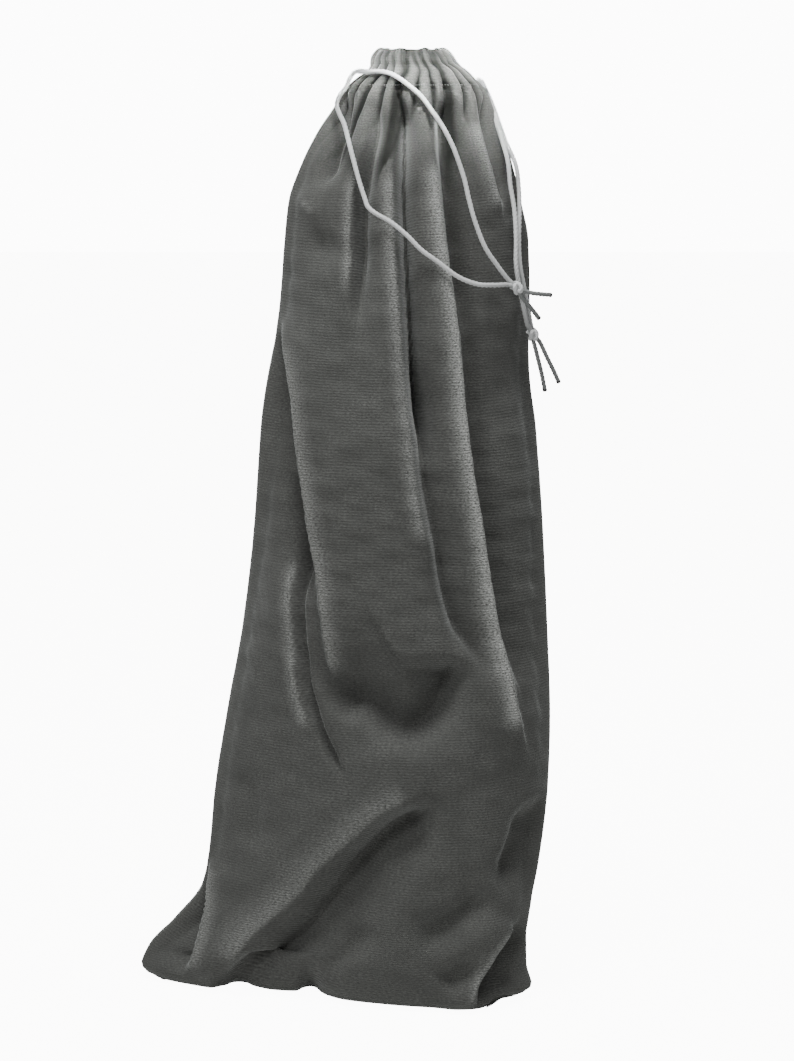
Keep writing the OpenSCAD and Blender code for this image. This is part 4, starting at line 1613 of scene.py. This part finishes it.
@dataclass
class Studio:
    """Camera, lights, floor and sky."""

    lens: float = 100.0
    place: tuple[float, float, float] = (0.036, -1.89083, 0.6354)
    pitch_deg: float = 80.0
    floor_half: float = 6.0
    sky: float = 12.0
    fill: float = 0.2

    def camera(self) -> None:
        """A long lens a little above the middle of the bag, looking slightly down at it."""
        data = bpy.data.cameras.new("camera")
        data.lens = self.lens
        data.sensor_width = 36.0
        data.clip_end = 50.0
        made = bpy.data.objects.new("camera", data)
        made.location = self.place
        made.rotation_euler = (math.radians(self.pitch_deg), 0.0, 0.0)
        bpy.context.scene.collection.objects.link(made)
        bpy.context.scene.camera = made

    def light(self, name: str, place: tuple[float, float, float],
              target: tuple[float, float, float], size: tuple[float, float],
              watts: float, spread: float = 180.0) -> None:
        """A softbox that faces a point.

        Args:
            name: the light's name.
            place: where it is, in metres.
            target: what it faces.
            size: its width and height in metres.
            watts: its power.
            spread: how wide its grid lets the light out, in degrees.
        """
        data = bpy.data.lights.new(name, "AREA")
        data.shape = "RECTANGLE"
        data.size, data.size_y = size
        data.energy = watts
        data.spread = math.radians(spread)
        made = bpy.data.objects.new(name, data)
        made.location = place
        aim = Vector(target) - Vector(place)
        made.rotation_euler = aim.to_track_quat("-Z", "Y").to_euler()
        bpy.context.scene.collection.objects.link(made)

    def floor(self) -> None:
        """A wide sheet of paper that the bag stands on."""
        e = self.floor_half * 1000
        x, y = np.meshgrid(np.linspace(-e, e, 5), np.linspace(-e, e, 5))
        made = Sheet()
        made.grid(np.stack([x, y, 0 * x], axis=-1))
        made.make("paper_floor", PAPER)

    def world(self) -> None:
        """Even white light from all round, and a white backdrop that adds no light of its own."""
        world = bpy.data.worlds.new("white_room")
        world.use_nodes = True
        world.node_tree.nodes.clear()
        t = world.node_tree
        room = add_node(t, "ShaderNodeBackground",
                        values={"Color": (1.0, 1.0, 1.0, 1.0), "Strength": self.fill})
        seen = add_node(t, "ShaderNodeBackground",
                        values={"Color": (1.0, 1.0, 1.0, 1.0), "Strength": self.sky})
        rays = add_node(t, "ShaderNodeLightPath")
        both = add_node(t, "ShaderNodeMixShader",
                        {0: rays.outputs["Is Camera Ray"], 1: room.outputs[0],
                         2: seen.outputs[0]})
        add_node(t, "ShaderNodeOutputWorld", {"Surface": both.outputs[0]})
        bpy.context.scene.world = world

    def build(self) -> None:
        """Sets up the lights, the floor and the sky."""
        self.light("overhead_softbox", (0.0, -0.35, 1.5), (0.03, -0.03, 0.3), (0.5, 0.4), 16.0)
        self.light("mouth_softbox", (0.07, -0.24, 0.82), (0.054, -0.01, 0.612), (0.08, 0.04),
                   0.2, 20.0)
        self.light("key_softbox", (-0.9, -1.3, 1.5), (0.03, 0.0, 0.3), (0.5, 0.5), 10.2)
        self.floor()
        self.world()


# ------------------------------------------------------------------ the whole bag


def bend_with_mouth(piece: bpy.types.Object) -> None:
    """Bakes the placement of a piece of the back into its mesh.

    Args:
        piece: the piece, with its mesh final.
    """
    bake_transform(piece)


@dataclass
class LaundryBag:
    """The bag: cords first, then cloth, seams and stitches."""

    cords: Drawcords = field(default_factory=Drawcords)

    def build_cords(self) -> None:
        """Both loose loops, and the runs inside the casing."""
        c = self.cords
        for loop, routes, knot, axis, tips in (
            ("left_loop", (LEFT_UPPER, LEFT_LOWER), "left_knot", LEFT_KNOT_AXIS,
             "left_cord_tips"),
            ("right_loop", (RIGHT_INNER, RIGHT_OUTER), "right_knot", RIGHT_KNOT_AXIS,
             "right_cord_tips"),
        ):
            tied = c.knot(knot, axis, loop)
            ends = c.tips(tips, routes, loop)
            for route in routes:
                c.strand(route, [tied, ends], loop)
        for name, z, exit_x in (("left", LEFT_CORD_H, 17.7), ("right", RIGHT_CORD_H, 85.3)):
            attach(c.run(f"{name}_cord_front_run", Side.FRONT, z, exit_x), "bag")
            bend_with_mouth(c.run(f"{name}_cord_back_run", Side.BACK, z, exit_x))

    def build_cloth(self) -> None:
        """Panels and casings for the front and the back."""
        front = Panel("front_velour", Side.FRONT, ("front_panel",)).build()
        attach(front, "bag")
        back = Panel("back_velour", Side.BACK, ("lower_back_panel", "upper_back_panel")).build()
        bend_with_mouth(back)
        front_casing = Casing("front_gathered_hem", Side.FRONT, "front_casing").build()
        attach(front_casing, "bag")
        back_casing = Casing("back_gathered_hem", Side.BACK, "back_casing").build()
        bend_with_mouth(back_casing)

    def build_sewing(self) -> None:
        """Bound seams inside, hem stitches, bartacks and the side seam's own stitches."""
        for name, end in (("left_side_seam", -1), ("right_side_seam", 1)):
            seam = BoundSeam(name)
            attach(seam.build(*seam.side_line(end)), "bag")
        bottom = BoundSeam("bottom_seam", allowance=6.0)
        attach(bottom.build(*bottom.bottom_line()), "bag")
        front = Stitching("front_hem_stitches", ("front_casing_stitching",))
        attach(front.hem(Side.FRONT, 589.6), "bag")
        back = Stitching("back_hem_stitches", ("back_casing_stitching",))
        bend_with_mouth(back.hem(Side.BACK, 589.6))
        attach(Bartack("left_exit_bartack", (1, 13)).build(), "bag")
        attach(Bartack("right_exit_bartack", (167, 179)).build(), "bag")
        row = Stitching("right_side_seam_stitches", (), length=1.5)
        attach(row.side_row(430, 486, 174.0), "bag")


def main() -> None:
    """Builds the scene in order: frame, camera, cords, cloth, sewing, studio."""
    logging.basicConfig(level=logging.INFO, format="%(name)s: %(message)s")
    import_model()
    studio = Studio()
    studio.camera()
    bag = LaundryBag()
    bag.build_cords()
    bag.build_cloth()
    bag.build_sewing()
    studio.build()


if __name__ == "__main__":
    main()
